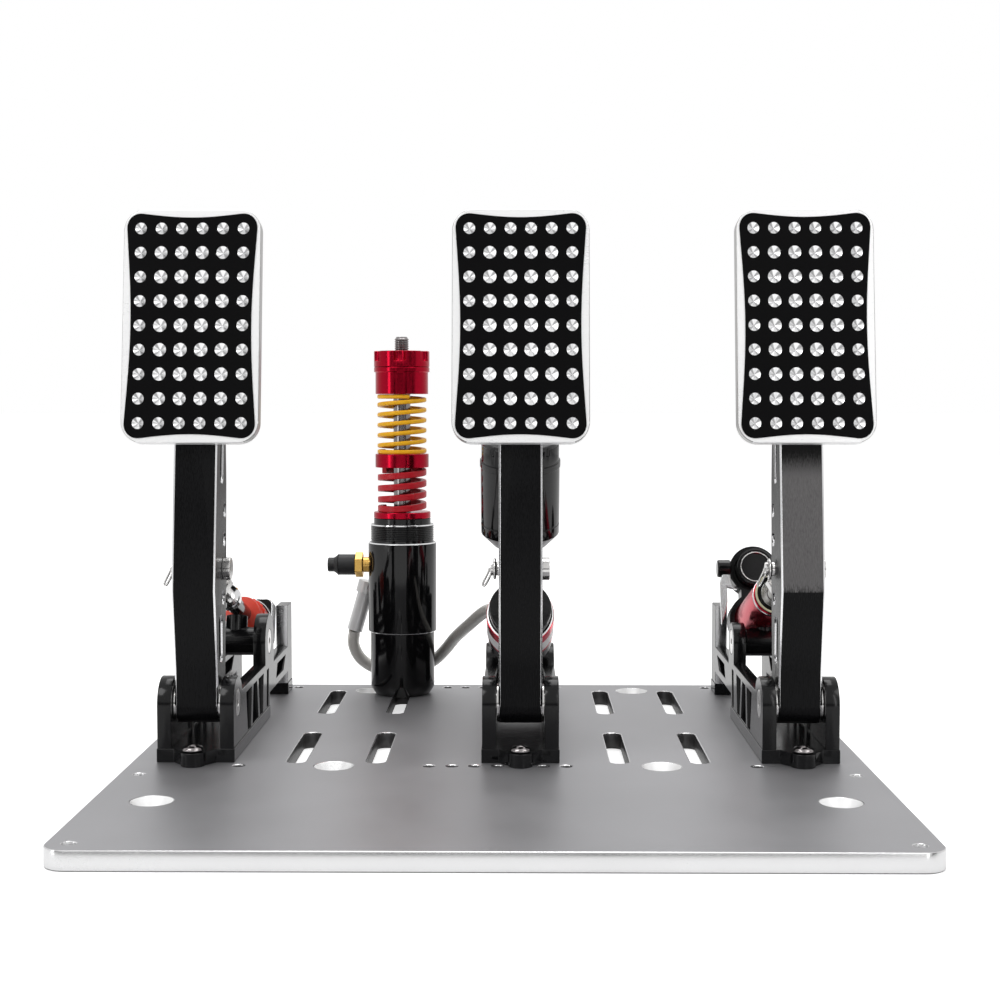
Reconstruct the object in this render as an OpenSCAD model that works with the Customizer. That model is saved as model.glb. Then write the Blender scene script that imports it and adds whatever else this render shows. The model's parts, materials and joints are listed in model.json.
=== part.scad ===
// Three-pedal driving set on a slotted base plate, with a hydraulic brake and a spring tower
// Frame: origin at the bottom centre of the plate, +X right, +Y away from the driver, +Z up

/* [Base plate] */
// Width of the base plate, left to right
plate_w = 420; // [412:1:460]
// Length of the base plate, front to back
plate_l = 440; // [436:1:480]
// Thickness of the base plate
plate_t = 10; // [8:0.5:14]
// Radius of the plate corners
plate_corner_r = 12; // [4:1:20]
// Width of the adjustment slots
slot_w = 11; // [8:0.5:12]
// Length of the adjustment slots, end to end
slot_l = 86; // [60:1:90]
// Bore of the small fixing holes
fix_hole_d = 6.6; // [6.4:0.1:7.5]

/* [Pedal units] */
// Distance of the clutch and throttle from the plate centre
pedal_spread = 173; // [168:1:178]
// Place of the brake, right of the plate centre
brake_x = 13; // [5:1:20]
// Clear width between the two side plates of a pedal
gap_w = 28; // [27:0.5:32]
// Thickness of a side plate
side_t = 8; // [6:0.5:10]
// Height of the feet under the side plates
foot_h = 8; // [6:0.5:10]
// Height of the front pivot above the plate
pivot_h = 32; // [28:0.5:36]
// Radius of the front ears
ear_r = 15.5; // [13:0.5:18]
// Diameter of the pivot pins
pivot_d = 12; // [8:0.5:13]
// Diameter of the screw heads on the outer faces
screw_head_d = 16; // [13:0.5:18]

/* [Arms] */
// Width of a pedal arm
arm_w = 25; // [20:0.5:26]
// Lean of the upper arm away from the driver, in degrees
arm_lean = 8; // [4:0.5:12]
// Diameter of the clevis pins
clevis_d = 8; // [6:0.5:9]
// Spacing of the adjustment holes along the arm
arm_hole_pitch = 17; // [15:0.5:19]

/* [Pads] */
// Width of a pad
pad_w = 78.5; // [60:0.5:90]
// Length of a pad
pad_l = 132; // [110:1:136]
// Thickness of the bright pad plate
pad_t = 9; // [6:0.5:12]
// Thickness of the black tread on the pad
tread_t = 1.2; // [0.8:0.1:2]
// Diameter of the tread openings
tread_hole_d = 7.4; // [5:0.1:8]

/* [Struts] */
// Slope of the clutch and throttle struts, in degrees
strut_tilt = 18; // [16:0.5:20]
// Diameter of the throttle tube
tube_d = 27; // [22:0.5:27.4]
// Diameter of the push rods
rod_d = 11; // [8:0.5:11.5]
// Diameter of the brake cylinder
master_d = 40; // [34:0.5:42]
// Diameter of the fluid reservoir
reservoir_d = 52; // [40:0.5:54]

/* [Spring tower] */
// Diameter of the upper body of the spring tower
tower_d = 48; // [44:0.5:52]
// Outer diameter of the coil springs
coil_d = 34.8; // [30:0.2:36]
// Turns of the lower spring
lower_turns = 3.5; // [2.5:0.5:4.5]
// Turns of the upper spring
upper_turns = 6; // [4:0.5:7]
// Diameter of the central rod
tower_rod_d = 12; // [10:0.5:13]

/* [Hidden] */
$fn = 48;
eps = 0.02;
fit = 0.05;
loose = 0.3;
pin_play = 1.2;
pedals = [-pedal_spread, brake_x, pedal_spread];
brake = 1;
floor_z = plate_t;
rail_z = floor_z + foot_h;

// Side-plate profile, seen from the side: y runs away from the driver, z up
pivot = [-22, floor_z + pivot_h];
front_y = pivot[0] - ear_r;
foot_end_y = 98;
rear_leg_y = 180;
rear_end_y = 202;
rail_h = 37;
arch_h = 16;
rear_rail_h = 34;
rear_ear_h = 63;
rail_top = floor_z + rail_h;
arch_top = floor_z + arch_h;
rear_rail_top = floor_z + rear_rail_h;
rear_ear_top = floor_z + rear_ear_h;
hub_r = 18;
hub_y = 98;
hub_h = 50;
brake_hub_h = 31;
hub_z = [floor_z + hub_h, floor_z + brake_hub_h, floor_z + hub_h];
half_gap = gap_w / 2;
half_out = half_gap + side_t;
head_t = 2.5;
shoulder_d = 10;
shoulder_reach = 9;
socket_d = 5;
socket_depth = 1.6;
tap_d = 5;
tap_l = 10;
foot_margin = 0.4;
tongue_y = -45;
rear_bolt_y = 208.5;
tongue_r = 7;
tongue_flare = 6;
tongue_root = 8;
foot_bolt_d = 6;
foot_head_d = 12;
foot_head_h = 4;
foot_socket_d = 4;
foot_socket_depth = 2;
bolt_short = 1;

// Arm profile
arm_foot_r = 11.5;
arm_step = 20;
arm_bend = 66.5;
arm_rise = 202;
arm_kick = 6.5;
break_low_z = pivot[1] + arm_step;
break_mid_z = pivot[1] + arm_bend;
arm_top_z = pivot[1] + arm_rise;
arm_front_y = pivot[0] - arm_foot_r;
arm_mid_y = arm_front_y - arm_kick;
arm_top_y = arm_mid_y + (arm_top_z - break_mid_z) * tan(arm_lean);
arm_mid_depth = 36;
arm_top_depth = 20;
arm_back_rise = 60;
arm_back_bulge = 4;
clevis_back = 10;
clevis_rise = 77;
clevis = [pivot[0] + clevis_back, pivot[1] + clevis_rise];
clevis_gap = 13;
fork_below = 27;
fork_above = 46;
slot_low_z = clevis[1] - fork_below;
slot_high_z = clevis[1] + fork_above;
slot_front = 11.5;
fork_depth = 60;
low_window = [11, 28];
low_window_rise = 17;
high_window = [9, 40];
high_window_place = [27, 24];
pin_head_d = 13;
pin_head_t = 4.5;
clip_r = 6;
clip_wire = 1.6;
clip_back = 2.5;
pin_end = 5;
clip_groove = 2.4;
clip_grip = 0.7;
groove_play = 0.2;
bush_wall = 3;
bush_flange = 1.2;
bush_l = 10;
bush_rim = 4;
pad_screw_reach = 12;

// Pad frame: it lies on the front face of the upper arm
pad_h = 183;
pad_low_z = floor_z + pad_h;
pad_corner_r = 12;
tread_inset = 2.5;
tread_cols = 6;
tread_rows = 9;
tread_pitch_x = 11.75;
tread_pitch_z = 13.8;
pad_screw_d = 6;
pad_screw_place = [18, 40];

// Strut geometry: s is measured along the strut from the clevis pin
brake_tilt = atan2(clevis[1] - hub_z[brake], hub_y - clevis[0]);
brake_len = norm([hub_y - clevis[0], clevis[1] - hub_z[brake]]);
hub_s = (hub_y - clevis[0]) * cos(strut_tilt) + (clevis[1] - hub_z[0]) * sin(strut_tilt);
eye_r = clevis_d / 2 + pin_play + 3.2;
eye_w = clevis_gap - 1;
hub_w = gap_w - 1;
hub_barrel_r = 11;
tube_start = 74;
tube_end = 184;
tube_wall = 3.5;
piston_s = 96;
piston_l = 12;
clutch_body_d = 24;
clutch_nut_d = 22;
wheel_d = 27.6;
wheel_s = 157;
wheel_t = 13;
block_w = 32;
block_s = wheel_s + wheel_t + loose;
block_t = 15;
damper_d = 25;
damper_rise = 34;
damper_start = 150;
damper_end = 190;
holder_wall = 4;
holder_s = 160;
holder_l = 16;
ring_t = 4;
nut_s = 34;
piston_fit = 0.1;
master_start = 48;
master_end = 88;
neck_d = 26;
band_t = 0.8;
cap_t = 8;
band_s = 58;
rod_play = 0.7;
brake_rod_s = 70;
brake_nut_s = 22;
brake_nut_d = 20;
foot_rise = 6;
union_l = 6;
column_w = 24;
column_l = 24;
column_y = 104;
column_h = 108;
column_top = floor_z + column_h;
reservoir_tilt = 14;
reservoir_l = 70;
cone_l = 8;
cap_l = 17;

// Spring tower levels
tower = [-70, 187];
tower_base_d = 38;
lower_d = 45;
tower_steps = [0, 7, 44.5, 108, 120.7, 124.7];
tower_z = [for (h = tower_steps) floor_z + h];
tower_neck_in = 8;
tower_thread_in = 3.5;
tower_spigot_play = 0.6;
tower_spigot_low = 1;
seat_z = tower_z[5];
seat_t = 4.6;
lower_spring_z = seat_z + seat_t;
lower_spring_h = 31.2;
collar_z = lower_spring_z + lower_spring_h;
collar_t = 9.5;
upper_spring_z = collar_z + collar_t;
upper_spring_h = 42;
sleeve_z = upper_spring_z + upper_spring_h;
sleeve_t = 19;
nut_z = sleeve_z + sleeve_t;
nut_t = 11;
stud_rise = 10;
stud_top = nut_z + nut_t + stud_rise;
stud_d = 10;
rod_low = 75;
bore_low = 50;
rod_low_z = floor_z + rod_low;
bore_low_z = floor_z + bore_low;
collar_over = 2.7;
sleeve_over = 2.2;
flange_over = 4.2;
flange_t = 4;
scallop_d = 9;
scallop_out = 3.5;
scallop_h = 7;
lower_wire = 4.4;
upper_wire = 3.2;
bleed_h = 91.5;
bleed_z = floor_z + bleed_h;
bleed_neck = 4;
bleed_hex_d = 18;
bleed_hex_t = 5.4;
bleed_tip_d = 7;
bleed_tip_l = 14;
bleed_cap_s = 9.3;
bleed_cap_d = 14.6;
bleed_cap_l = 12;
bleed_cap_cone = 3;
bleed_nose_d = 10;
bleed_nose_l = 4.4;
bleed_d = 10.7;
bleed_depth = 5;
collar_fit = 0.2;
coil_seat = 0.1;
ferrule_top = [-97, 205, 83];
ferrule_d = 11;
ferrule_nut_d = 14;
ferrule_nut_l = 9;
ferrule_nut_back = 5;
banjo_d = 10;
banjo_gap = 0.1;
banjo_in = 4;
hose_d = 8.5;
hose_sides = 10;

// Route of the hose, from the spring tower round to the brake
hose_path = [[-106, 205, 52], [-107, 207, 42], [-103, 210, 32], [-95, 213, 25], [-84, 215, 21],
    [-71, 215, 21], [-58, 212, 25], [-47, 205, 32], [-38, 194, 41], [-31, 180, 51], [-27, 164, 60],
    [-25, 149, 67], [-22, 136, 72], [-18, 125, 76], [-14, 117, 77], [-10, 113, 78], [-5.3, 112, 78]];
union_y = 112;
union_z = 78;

// Extrude a side-view outline along X, from x for a width w
module side(x, w) {
    translate([x, 0, 0]) rotate([90, 0, 90]) linear_extrude(w) children();
}

// Round bar along X, centred on a side-view point
module bar_x(p, x, w, d) {
    translate([x, p[0], p[1]]) rotate([0, 90, 0]) cylinder(d = d, h = w);
}

// Strut frame: local Z runs down the strut from the clevis pin, local -Y rises
module strut(tilt) {
    translate([0, clevis[0], clevis[1]]) rotate([-90 - tilt, 0, 0]) children();
}

// Flat rectangle with round corners, centred
module round_rect(w, h, r) {
    square([w - 2 * r, h], center = true);
    square([w, h - 2 * r], center = true);
    for (x = [-1, 1], y = [-1, 1]) translate([x * (w / 2 - r), y * (h / 2 - r)]) circle(r);
}

// Slot with round ends along Y, centred
module slot_2d(w, l) {
    square([w, l - w], center = true);
    for (y = [-1, 1]) translate([0, y * (l - w) / 2]) circle(d = w);
}

slot_x = [70, 116];
slot_y = [5, 152];
big_holes = [[93, -45.4], [93, 195.5], [178, -127]];
big_hole_d = 13;
big_sink_d = 22;
edge_holes = [[198.5, -207.5], [198.5, -67], [147, -45], [147, 208.5]];
row_pitch = 13;

module base_plate() color([0.42, 0.42, 0.44]) difference() {
    linear_extrude(plate_t) round_rect(plate_w, plate_l, plate_corner_r);
    for (sx = [-1, 1], x = slot_x, y = slot_y)
        translate([sx * x, y, -1]) linear_extrude(plate_t + 2) slot_2d(slot_w, slot_l);
    for (sx = [-1, 1], h = big_holes) translate([sx * h[0], h[1], -1]) {
        cylinder(d = big_hole_d, h = plate_t + 2);
        translate([0, 0, plate_t + 1 - (big_sink_d - big_hole_d) / 2])
            cylinder(d1 = big_hole_d, d2 = big_sink_d, h = (big_sink_d - big_hole_d) / 2 + eps);
    }
    for (sx = [-1, 1], h = edge_holes) fix_hole(sx * h[0], h[1]);
    for (i = [-3:3], y = [tongue_y, rear_bolt_y]) fix_hole(i * row_pitch, y);
    for (s = [-1, 1], y = [tongue_y, rear_bolt_y]) fix_hole(s * pedal_spread, y);
    if (brake_x % row_pitch != 0)
        for (y = [tongue_y, rear_bolt_y]) fix_hole(brake_x, y);
}

module fix_hole(x, y) {
    translate([x, y, -1]) cylinder(d = fix_hole_d, h = plate_t + 2);
}

// Button-head screws that hold the pedal feet on the plate
module foot_screws() color("silver") for (x = pedals, y = [tongue_y, rear_bolt_y])
    translate([x, y, rail_z]) {
        difference() {
            rotate_extrude() intersection() {
                square([foot_head_d / 2, foot_head_h]);
                translate([0, foot_head_h - foot_head_d]) circle(foot_head_d);
            }
            translate([0, 0, foot_head_h - foot_socket_depth])
                cylinder(d = foot_socket_d, h = foot_socket_depth + 1, $fn = 6);
        }
        translate([0, 0, -foot_h - plate_t + bolt_short])
            cylinder(d = foot_bolt_d, h = foot_h + plate_t - bolt_short);
    }

// Feet: a front block with a tongue and a rear block with a tongue
module feet(x) color([0.09, 0.09, 0.1]) translate([x, 0, floor_z]) difference() {
    w = 2 * half_out + 2 * foot_margin;
    union() {
        linear_extrude(foot_h) {
            translate([-w / 2, front_y - foot_margin]) square([w, foot_end_y - front_y]);
            translate([0, tongue_y]) circle(tongue_r);
            translate([0, tongue_y]) polygon([[-tongue_r, 0], [tongue_r, 0],
                [tongue_r + tongue_flare, tongue_root], [-tongue_r - tongue_flare, tongue_root]]);
            translate([-w / 2, rear_leg_y]) square([w, rear_end_y - rear_leg_y]);
            translate([0, rear_bolt_y]) circle(tongue_r);
            translate([-tongue_r, rear_end_y - 1]) square([2 * tongue_r, rear_bolt_y - rear_end_y + 1]);
        }
    }
    for (y = [tongue_y, rear_bolt_y]) translate([0, y, -1]) cylinder(d = fix_hole_d, h = foot_h + 2);
}

// Outline of one side plate, without its holes
module side_outline(i) {
    hub = [hub_y, hub_z[i]];
    translate([front_y, rail_z]) square([2 * ear_r - 1, pivot[1] - rail_z]);
    translate(pivot) circle(ear_r);
    translate([front_y, rail_z]) square([foot_end_y - front_y, rail_top - rail_z]);
    translate([hub_y - hub_r, arch_top]) square([2 * hub_r, hub[1] - arch_top]);
    translate(hub) circle(hub_r);
    translate([foot_end_y - 1, arch_top]) square([rear_end_y - foot_end_y + 1, rear_rail_top - arch_top]);
    translate([rear_leg_y, rail_z]) square([rear_end_y - rear_leg_y, rear_ear_top - rail_z]);
}

// Truss openings between the front ear and the hub, then behind the hub
window_edge = 4.5;
window_low = rail_z + 1;
window_high = rail_top - window_edge;
window_first = 16.5;
window_pitch = 23;
window_half_top = [10, 6.5];
window_half_low = [5.5, 11];
hub_window = [84, 91, 94, 86];
rear_window = [126, 160, 170, 132];
rear_window_low = arch_top + 5;
rear_window_high = rear_rail_top - window_edge;
module side_windows() {
    for (k = [0:2]) {
        c = window_first + window_pitch * k;
        t = window_half_top[k % 2];
        b = window_half_low[k % 2];
        polygon([[c - b, window_low], [c + b, window_low], [c + t, window_high], [c - t, window_high]]);
    }
    window(hub_window, window_low, window_high);
    window(rear_window, rear_window_low, rear_window_high);
}

module window(y, low, high) {
    polygon([[y[0], low], [y[1], low], [y[2], high], [y[3], high]]);
}

module side_plates(x, i) color([0.1, 0.1, 0.11]) difference() {
    for (s = [-1, 1])
        side(x + (s > 0 ? half_gap : -half_out), side_t) difference() {
            side_outline(i);
            side_windows();
        }
    bar_x(pivot, x - half_out - 1, 2 * half_out + 2, pivot_d + 2 * fit);
    bar_x([hub_y, hub_z[i]], x - half_out - 1, 2 * half_out + 2, shoulder_d + 2 * fit);
    for (s = [-1, 1], p = [pivot, [hub_y, hub_z[i]]])
        bar_x(p, x + (s > 0 ? half_out - head_t : -half_out - 1), head_t + 1, screw_head_d + 2 * fit);
}

module pivot_pin(x) color("silver") difference() {
    bar_x(pivot, x - half_out + head_t, 2 * (half_out - head_t), pivot_d);
    for (s = [-1, 1])
        bar_x(pivot, x + s * (half_out - head_t - tap_l / 2) - tap_l / 2 - eps,
            tap_l + 2 * eps, tap_d + 2 * fit);
}

// Screws on the outer faces: two hold the pivot pin, two are the shoulder pins of the strut hub
module pivot_screws(x, i) color("silver") for (s = [-1, 1]) {
    hub = [hub_y, hub_z[i]];
    hub_l = side_t + shoulder_reach;
    difference() {
        union() {
            bar_x(pivot, x + (s > 0 ? half_out - head_t : -half_out), head_t, screw_head_d);
            bar_x(pivot, x + s * (half_out - head_t - tap_l / 2) - tap_l / 2, tap_l, tap_d);
        }
        bar_x(pivot, x + s * half_out - socket_depth, 2 * socket_depth, socket_d, $fn = 6);
    }
    difference() {
        union() {
            bar_x(hub, x + (s > 0 ? half_out - head_t : -half_out), head_t, screw_head_d);
            bar_x(hub, x + (s > 0 ? half_out - hub_l : -half_out), hub_l, shoulder_d);
        }
        bar_x(hub, x + s * half_out - socket_depth, 2 * socket_depth, socket_d, $fn = 6);
    }
}

module arm(x) color([0.07, 0.07, 0.08]) difference() {
    side(x - arm_w / 2, arm_w) difference() {
        union() {
            translate(pivot) circle(arm_foot_r);
            polygon([[arm_front_y, pivot[1]], [arm_front_y, break_low_z], [arm_mid_y, break_mid_z],
                [arm_top_y, arm_top_z], [arm_top_y + arm_top_depth, arm_top_z],
                [arm_mid_y + arm_mid_depth + arm_back_bulge, break_mid_z + arm_back_rise],
                [arm_mid_y + arm_mid_depth, break_mid_z],
                [pivot[0] + arm_foot_r + 1, break_low_z], [pivot[0] + arm_foot_r, pivot[1]]]);
        }
        translate([pivot[0] - 1, break_low_z + low_window_rise]) slot_2d(low_window[0], low_window[1]);
        translate([arm_mid_y + high_window_place[0], slot_high_z + high_window_place[1]])
            rotate(-arm_lean) slot_2d(high_window[0], high_window[1]);
    }
    translate([x - clevis_gap / 2, clevis[0] - slot_front, slot_low_z])
        cube([clevis_gap, fork_depth, slot_high_z - slot_low_z]);
    bar_x(pivot, x - arm_w, 2 * arm_w, pivot_d + 2 * bush_wall + 2 * fit);
    for (k = [-1:2])
        bar_x([clevis[0] + k * arm_hole_pitch * tan(arm_lean), clevis[1] + k * arm_hole_pitch],
            x - arm_w, 2 * arm_w, clevis_d + 2 * fit);
    pad_frame(x) for (z = pad_screw_place)
        translate([0, 1, z]) rotate([-90, 0, 0]) cylinder(d = pad_screw_d + 2 * fit, h = 40, center = true);
}

// Flanged bushes on the pivot pin, and the two screws that hold the pad
module arm_fittings(x) color([0.75, 0.72, 0.65]) {
    for (s = [-1, 1]) difference() {
        union() {
            bar_x(pivot, x + s * (arm_w - bush_l) / 2 - bush_l / 2, bush_l, pivot_d + 2 * bush_wall);
            bar_x(pivot, x + s * (arm_w + bush_flange) / 2 - bush_flange / 2, bush_flange,
                pivot_d + 2 * bush_wall + bush_rim);
        }
        bar_x(pivot, x - arm_w, 2 * arm_w, pivot_d + 2 * fit);
    }
    pad_frame(x) for (z = pad_screw_place)
        translate([0, -pad_t / 2, z]) rotate([-90, 0, 0])
            cylinder(d = pad_screw_d, h = pad_t / 2 + pad_screw_reach);
}

// Pad frame: origin at the middle of the pad's lower edge, Y into the arm, Z up the pad
module pad_frame(x) {
    translate([x, arm_mid_y + (pad_low_z - break_mid_z) * tan(arm_lean), pad_low_z])
        rotate([-arm_lean, 0, 0]) children();
}

module pad(x) color([0.85, 0.85, 0.86]) pad_frame(x) difference() {
    translate([0, 0, pad_l / 2]) rotate([90, 0, 0])
        linear_extrude(pad_t) round_rect(pad_w, pad_l, pad_corner_r);
    for (z = pad_screw_place) translate([0, -pad_t / 2 - fit, z]) rotate([-90, 0, 0])
        cylinder(d = pad_screw_d + 2 * fit, h = pad_t);
}

module pad_tread(x) color([0.03, 0.03, 0.03]) pad_frame(x)
    translate([0, -pad_t, pad_l / 2]) rotate([90, 0, 0]) linear_extrude(tread_t) difference() {
        round_rect(pad_w - 2 * tread_inset, pad_l - 2 * tread_inset, pad_corner_r - tread_inset);
        for (c = [0:tread_cols - 1], r = [0:tread_rows - 1])
            translate([(c - (tread_cols - 1) / 2) * tread_pitch_x,
                (r - (tread_rows - 1) / 2) * tread_pitch_z])
                circle(d = tread_hole_d, $fn = 24);
    }

// Clevis pin with its head, and the ring clip on its other end
module clevis_pin(x) color("silver") {
    clip_x = x - arm_w / 2 - clip_back;
    difference() {
        union() {
            bar_x(clevis, x - arm_w / 2 - pin_end, arm_w + pin_end, clevis_d);
            bar_x(clevis, x + arm_w / 2, pin_head_t, pin_head_d);
        }
        translate([clip_x, clevis[0], clevis[1]]) rotate([0, 90, 0]) rotate_extrude()
            translate([clip_r - clip_groove, 0]) circle(d = clip_wire + groove_play, $fn = 16);
    }
    translate([clip_x, clevis[0], clevis[1]]) rotate([0, 90, 0]) rotate_extrude()
        translate([clip_r - clip_grip, 0]) circle(d = clip_wire, $fn = 16);
}

// Push rod: an eye on the clevis pin, a shank and a nut
module rod(x, tilt, end_s, nut_s, nut_d) {
    difference() {
        union() {
            bar_x(clevis, x - eye_w / 2, eye_w, 2 * eye_r);
            translate([x, 0, 0]) strut(tilt) cylinder(d = rod_d, h = end_s);
            translate([x, 0, 0]) strut(tilt) translate([0, 0, nut_s]) cylinder(d = nut_d, h = 9, $fn = 6);
        }
        bar_x(clevis, x - eye_w, 2 * eye_w, clevis_d + 2 * pin_play);
    }
}

module piston(x, tilt, d) {
    translate([x, 0, 0]) strut(tilt) translate([0, 0, piston_s]) cylinder(d = d, h = piston_l);
}

// Hub on the shoulder pins with a saddle under the strut tube
module cradle(x, tube, wall) difference() {
    hub = [hub_y, hub_z[0]];
    union() {
        bar_x(hub, x - hub_w / 2, hub_w, 2 * hub_barrel_r);
        translate([x, 0, 0]) strut(strut_tilt) translate([0, 0, hub_s - hub_barrel_r])
            intersection() {
                cylinder(d = tube + 2 * wall, h = 2 * hub_barrel_r);
                translate([-hub_w / 2, 0, -1]) cube([hub_w, tube, 2 * hub_barrel_r + 2]);
            }
    }
    translate([x, 0, 0]) strut(strut_tilt) cylinder(d = tube + 2 * fit, h = tube_end + 20);
    bar_x(hub, x - hub_w, 2 * hub_w, shoulder_d + 2 * fit);
}

module strut_tube(x, d, from, to, bore) translate([x, 0, 0]) strut(strut_tilt)
    translate([0, 0, from]) difference() {
        cylinder(d = d, h = to - from);
        translate([0, 0, -1]) cylinder(d = bore, h = to - from - tube_wall);
    }

// Clutch strut
module clutch_cradle() color([0.08, 0.08, 0.09]) cradle(pedals[0], clutch_body_d, holder_wall);

module clutch_cylinder() color([0.08, 0.08, 0.09])
    strut_tube(pedals[0], clutch_body_d, tube_start, block_s + block_t - 5, clutch_body_d - 2 * tube_wall);

module clutch_rod() color("silver") {
    rod(pedals[0], strut_tilt, piston_s + piston_l / 2, nut_s, clutch_nut_d);
    piston(pedals[0], strut_tilt, clutch_body_d - 2 * tube_wall - 2 * piston_fit);
}

// Knurled wheel round the cylinder
module clutch_preload_wheel() color([0.85, 0.15, 0.1]) translate([pedals[0], 0, 0]) strut(strut_tilt)
    translate([0, 0, wheel_s]) difference() {
        cylinder(d = wheel_d, h = wheel_t);
        translate([0, 0, -1]) cylinder(d = clutch_body_d + 2 * fit, h = wheel_t + 2);
        for (a = [0:15:345]) rotate(a) translate([wheel_d / 2, 0, -1])
            cylinder(d = 1.6, h = wheel_t + 2, $fn = 16);
    }

module clutch_end_block() color([0.08, 0.08, 0.09]) translate([pedals[0], 0, 0]) strut(strut_tilt)
    translate([0, 0, block_s]) difference() {
        linear_extrude(block_t) round_rect(block_w, block_w, 5);
        translate([0, 0, -1]) cylinder(d = clutch_body_d + 2 * fit, h = block_t - 4 + fit);
    }

// Throttle strut
module throttle_cradle() color([0.08, 0.08, 0.09]) cradle(pedals[2], tube_d, holder_wall);

module throttle_tube() color([0.6, 0.05, 0.1])
    strut_tube(pedals[2], tube_d, tube_start, tube_end, tube_d - 2 * tube_wall);

module throttle_tube_ring() color([0.1, 0.1, 0.1]) translate([pedals[2], 0, 0]) strut(strut_tilt)
    translate([0, 0, tube_start - ring_t]) difference() {
        cylinder(d = tube_d, h = ring_t);
        translate([0, 0, -1]) cylinder(d = rod_d + 2 * loose, h = ring_t + 2);
    }

module throttle_rod() color("silver") {
    rod(pedals[2], strut_tilt, piston_s + piston_l / 2, nut_s, clutch_nut_d);
    piston(pedals[2], strut_tilt, tube_d - 2 * tube_wall - 2 * piston_fit);
}

module throttle_damper() color([0.07, 0.07, 0.08]) translate([pedals[2], 0, 0]) strut(strut_tilt)
    translate([0, -damper_rise, damper_start]) difference() {
        cylinder(d = damper_d, h = damper_end - damper_start);
        translate([0, 0, -1]) cylinder(d = damper_d - 5, h = 2.5);
    }

// Clamp that carries the damper on top of the throttle tube
module throttle_damper_holder() color([0.75, 0.75, 0.76]) translate([pedals[2], 0, 0]) strut(strut_tilt)
    translate([0, 0, holder_s]) linear_extrude(holder_l) difference() {
        union() {
            circle(d = tube_d + 2 * holder_wall);
            translate([0, -damper_rise]) circle(d = damper_d + 2 * holder_wall);
            translate([-9, -damper_rise]) square([18, damper_rise]);
        }
        circle(d = tube_d + 2 * fit);
        translate([0, -damper_rise]) circle(d = damper_d + 2 * fit);
    }

// Brake master cylinder: body, neck, lug on the shoulder pins and the column under the reservoir
module brake_master_cylinder() color([0.08, 0.08, 0.09]) difference() {
    hub = [hub_y, hub_z[brake]];
    union() {
        translate([brake_x, 0, 0]) strut(brake_tilt) {
            translate([0, 0, master_start + cap_t])
                cylinder(d = master_d, h = master_end - master_start - cap_t);
            translate([0, 0, master_end - eps]) cylinder(d = neck_d, h = brake_len - master_end - 10);
        }
        bar_x(hub, brake_x - hub_w / 2, hub_w, 2 * hub_barrel_r);
        translate([brake_x - column_w / 2, column_y - column_l / 2, hub[1] + 4])
            cube([column_w, column_l, column_top - hub[1] - 4]);
        bar_x([union_y, union_z], brake_x - column_w / 2 - union_l, union_l + eps, ferrule_d);
    }
    translate([brake_x, 0, 0]) strut(brake_tilt) cylinder(d = rod_d + 2 * rod_play, h = master_end - 4);
    bar_x(hub, brake_x - hub_w, 2 * hub_w, shoulder_d + 2 * fit);
}

module master_ring(from, h, d, bore) translate([brake_x, 0, 0]) strut(brake_tilt)
    translate([0, 0, from]) difference() {
        cylinder(d = d, h = h);
        translate([0, 0, -1]) cylinder(d = bore, h = h + 2);
    }

module brake_front_cap() color([0.05, 0.05, 0.05])
    master_ring(master_start, cap_t, master_d - 2, rod_d + 2 * rod_play);

module brake_red_bands() color([0.6, 0.05, 0.1]) {
    master_ring(band_s, 4, master_d + 2 * band_t, master_d + 2 * fit);
    master_ring(band_s + 13, 2.5, master_d + 2 * band_t, master_d + 2 * fit);
}

module brake_silver_band() color([0.8, 0.8, 0.82])
    master_ring(band_s + 4.2, 8.6, master_d + 2 * band_t, master_d + 2 * fit);

module brake_rod() color("silver") rod(brake_x, brake_tilt, brake_rod_s, brake_nut_s, brake_nut_d);

// Reservoir frame: it leans towards the driver from the top of the column
module reservoir_frame() {
    translate([brake_x, column_y, column_top + foot_rise]) rotate([reservoir_tilt, 0, 0]) children();
}

module fluid_reservoir() color([0.06, 0.06, 0.07]) {
    difference() {
        reservoir_frame() {
            cylinder(d1 = reservoir_d - 16, d2 = reservoir_d - 1, h = cone_l);
            translate([0, 0, cone_l - eps])
                cylinder(d = reservoir_d - 1, h = reservoir_l - cone_l - cap_l + eps);
            translate([0, 0, -9]) cylinder(d = column_w - 4, h = 10);
        }
        translate([0, 0, column_top - 20]) linear_extrude(20) translate([brake_x, column_y])
            square(80, center = true);
        reservoir_frame() translate([0, 0, cone_l]) cylinder(d = reservoir_d - 7, h = reservoir_l);
    }
}

module reservoir_cap() color([0.08, 0.08, 0.09]) reservoir_frame()
    translate([0, 0, reservoir_l - cap_l]) difference() {
        union() {
            cylinder(d = reservoir_d, h = 4);
            translate([0, 0, 3]) cylinder(d = reservoir_d - 2, h = cap_l - 5);
            translate([0, 0, cap_l - 2 - eps]) cylinder(d1 = reservoir_d - 2, d2 = reservoir_d - 6, h = 2);
        }
        for (a = [45:90:315]) rotate(a) translate([reservoir_d / 2, 0, cap_l - 6])
            cylinder(d = 4, h = 8, $fn = 24);
    }

// Spring tower
module tower_at() {
    translate([tower[0], tower[1], 0]) children();
}

module tower_lower_body() color([0.07, 0.07, 0.08]) tower_at() {
    translate([0, 0, tower_spigot_low])
        cylinder(d = slot_w - tower_spigot_play, h = floor_z - tower_spigot_low + eps);
    translate([0, 0, floor_z]) cylinder(d1 = tower_base_d, d2 = lower_d, h = tower_z[1] - floor_z + eps);
    translate([0, 0, tower_z[1]]) cylinder(d = lower_d, h = tower_z[2] - tower_z[1]);
}

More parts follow.
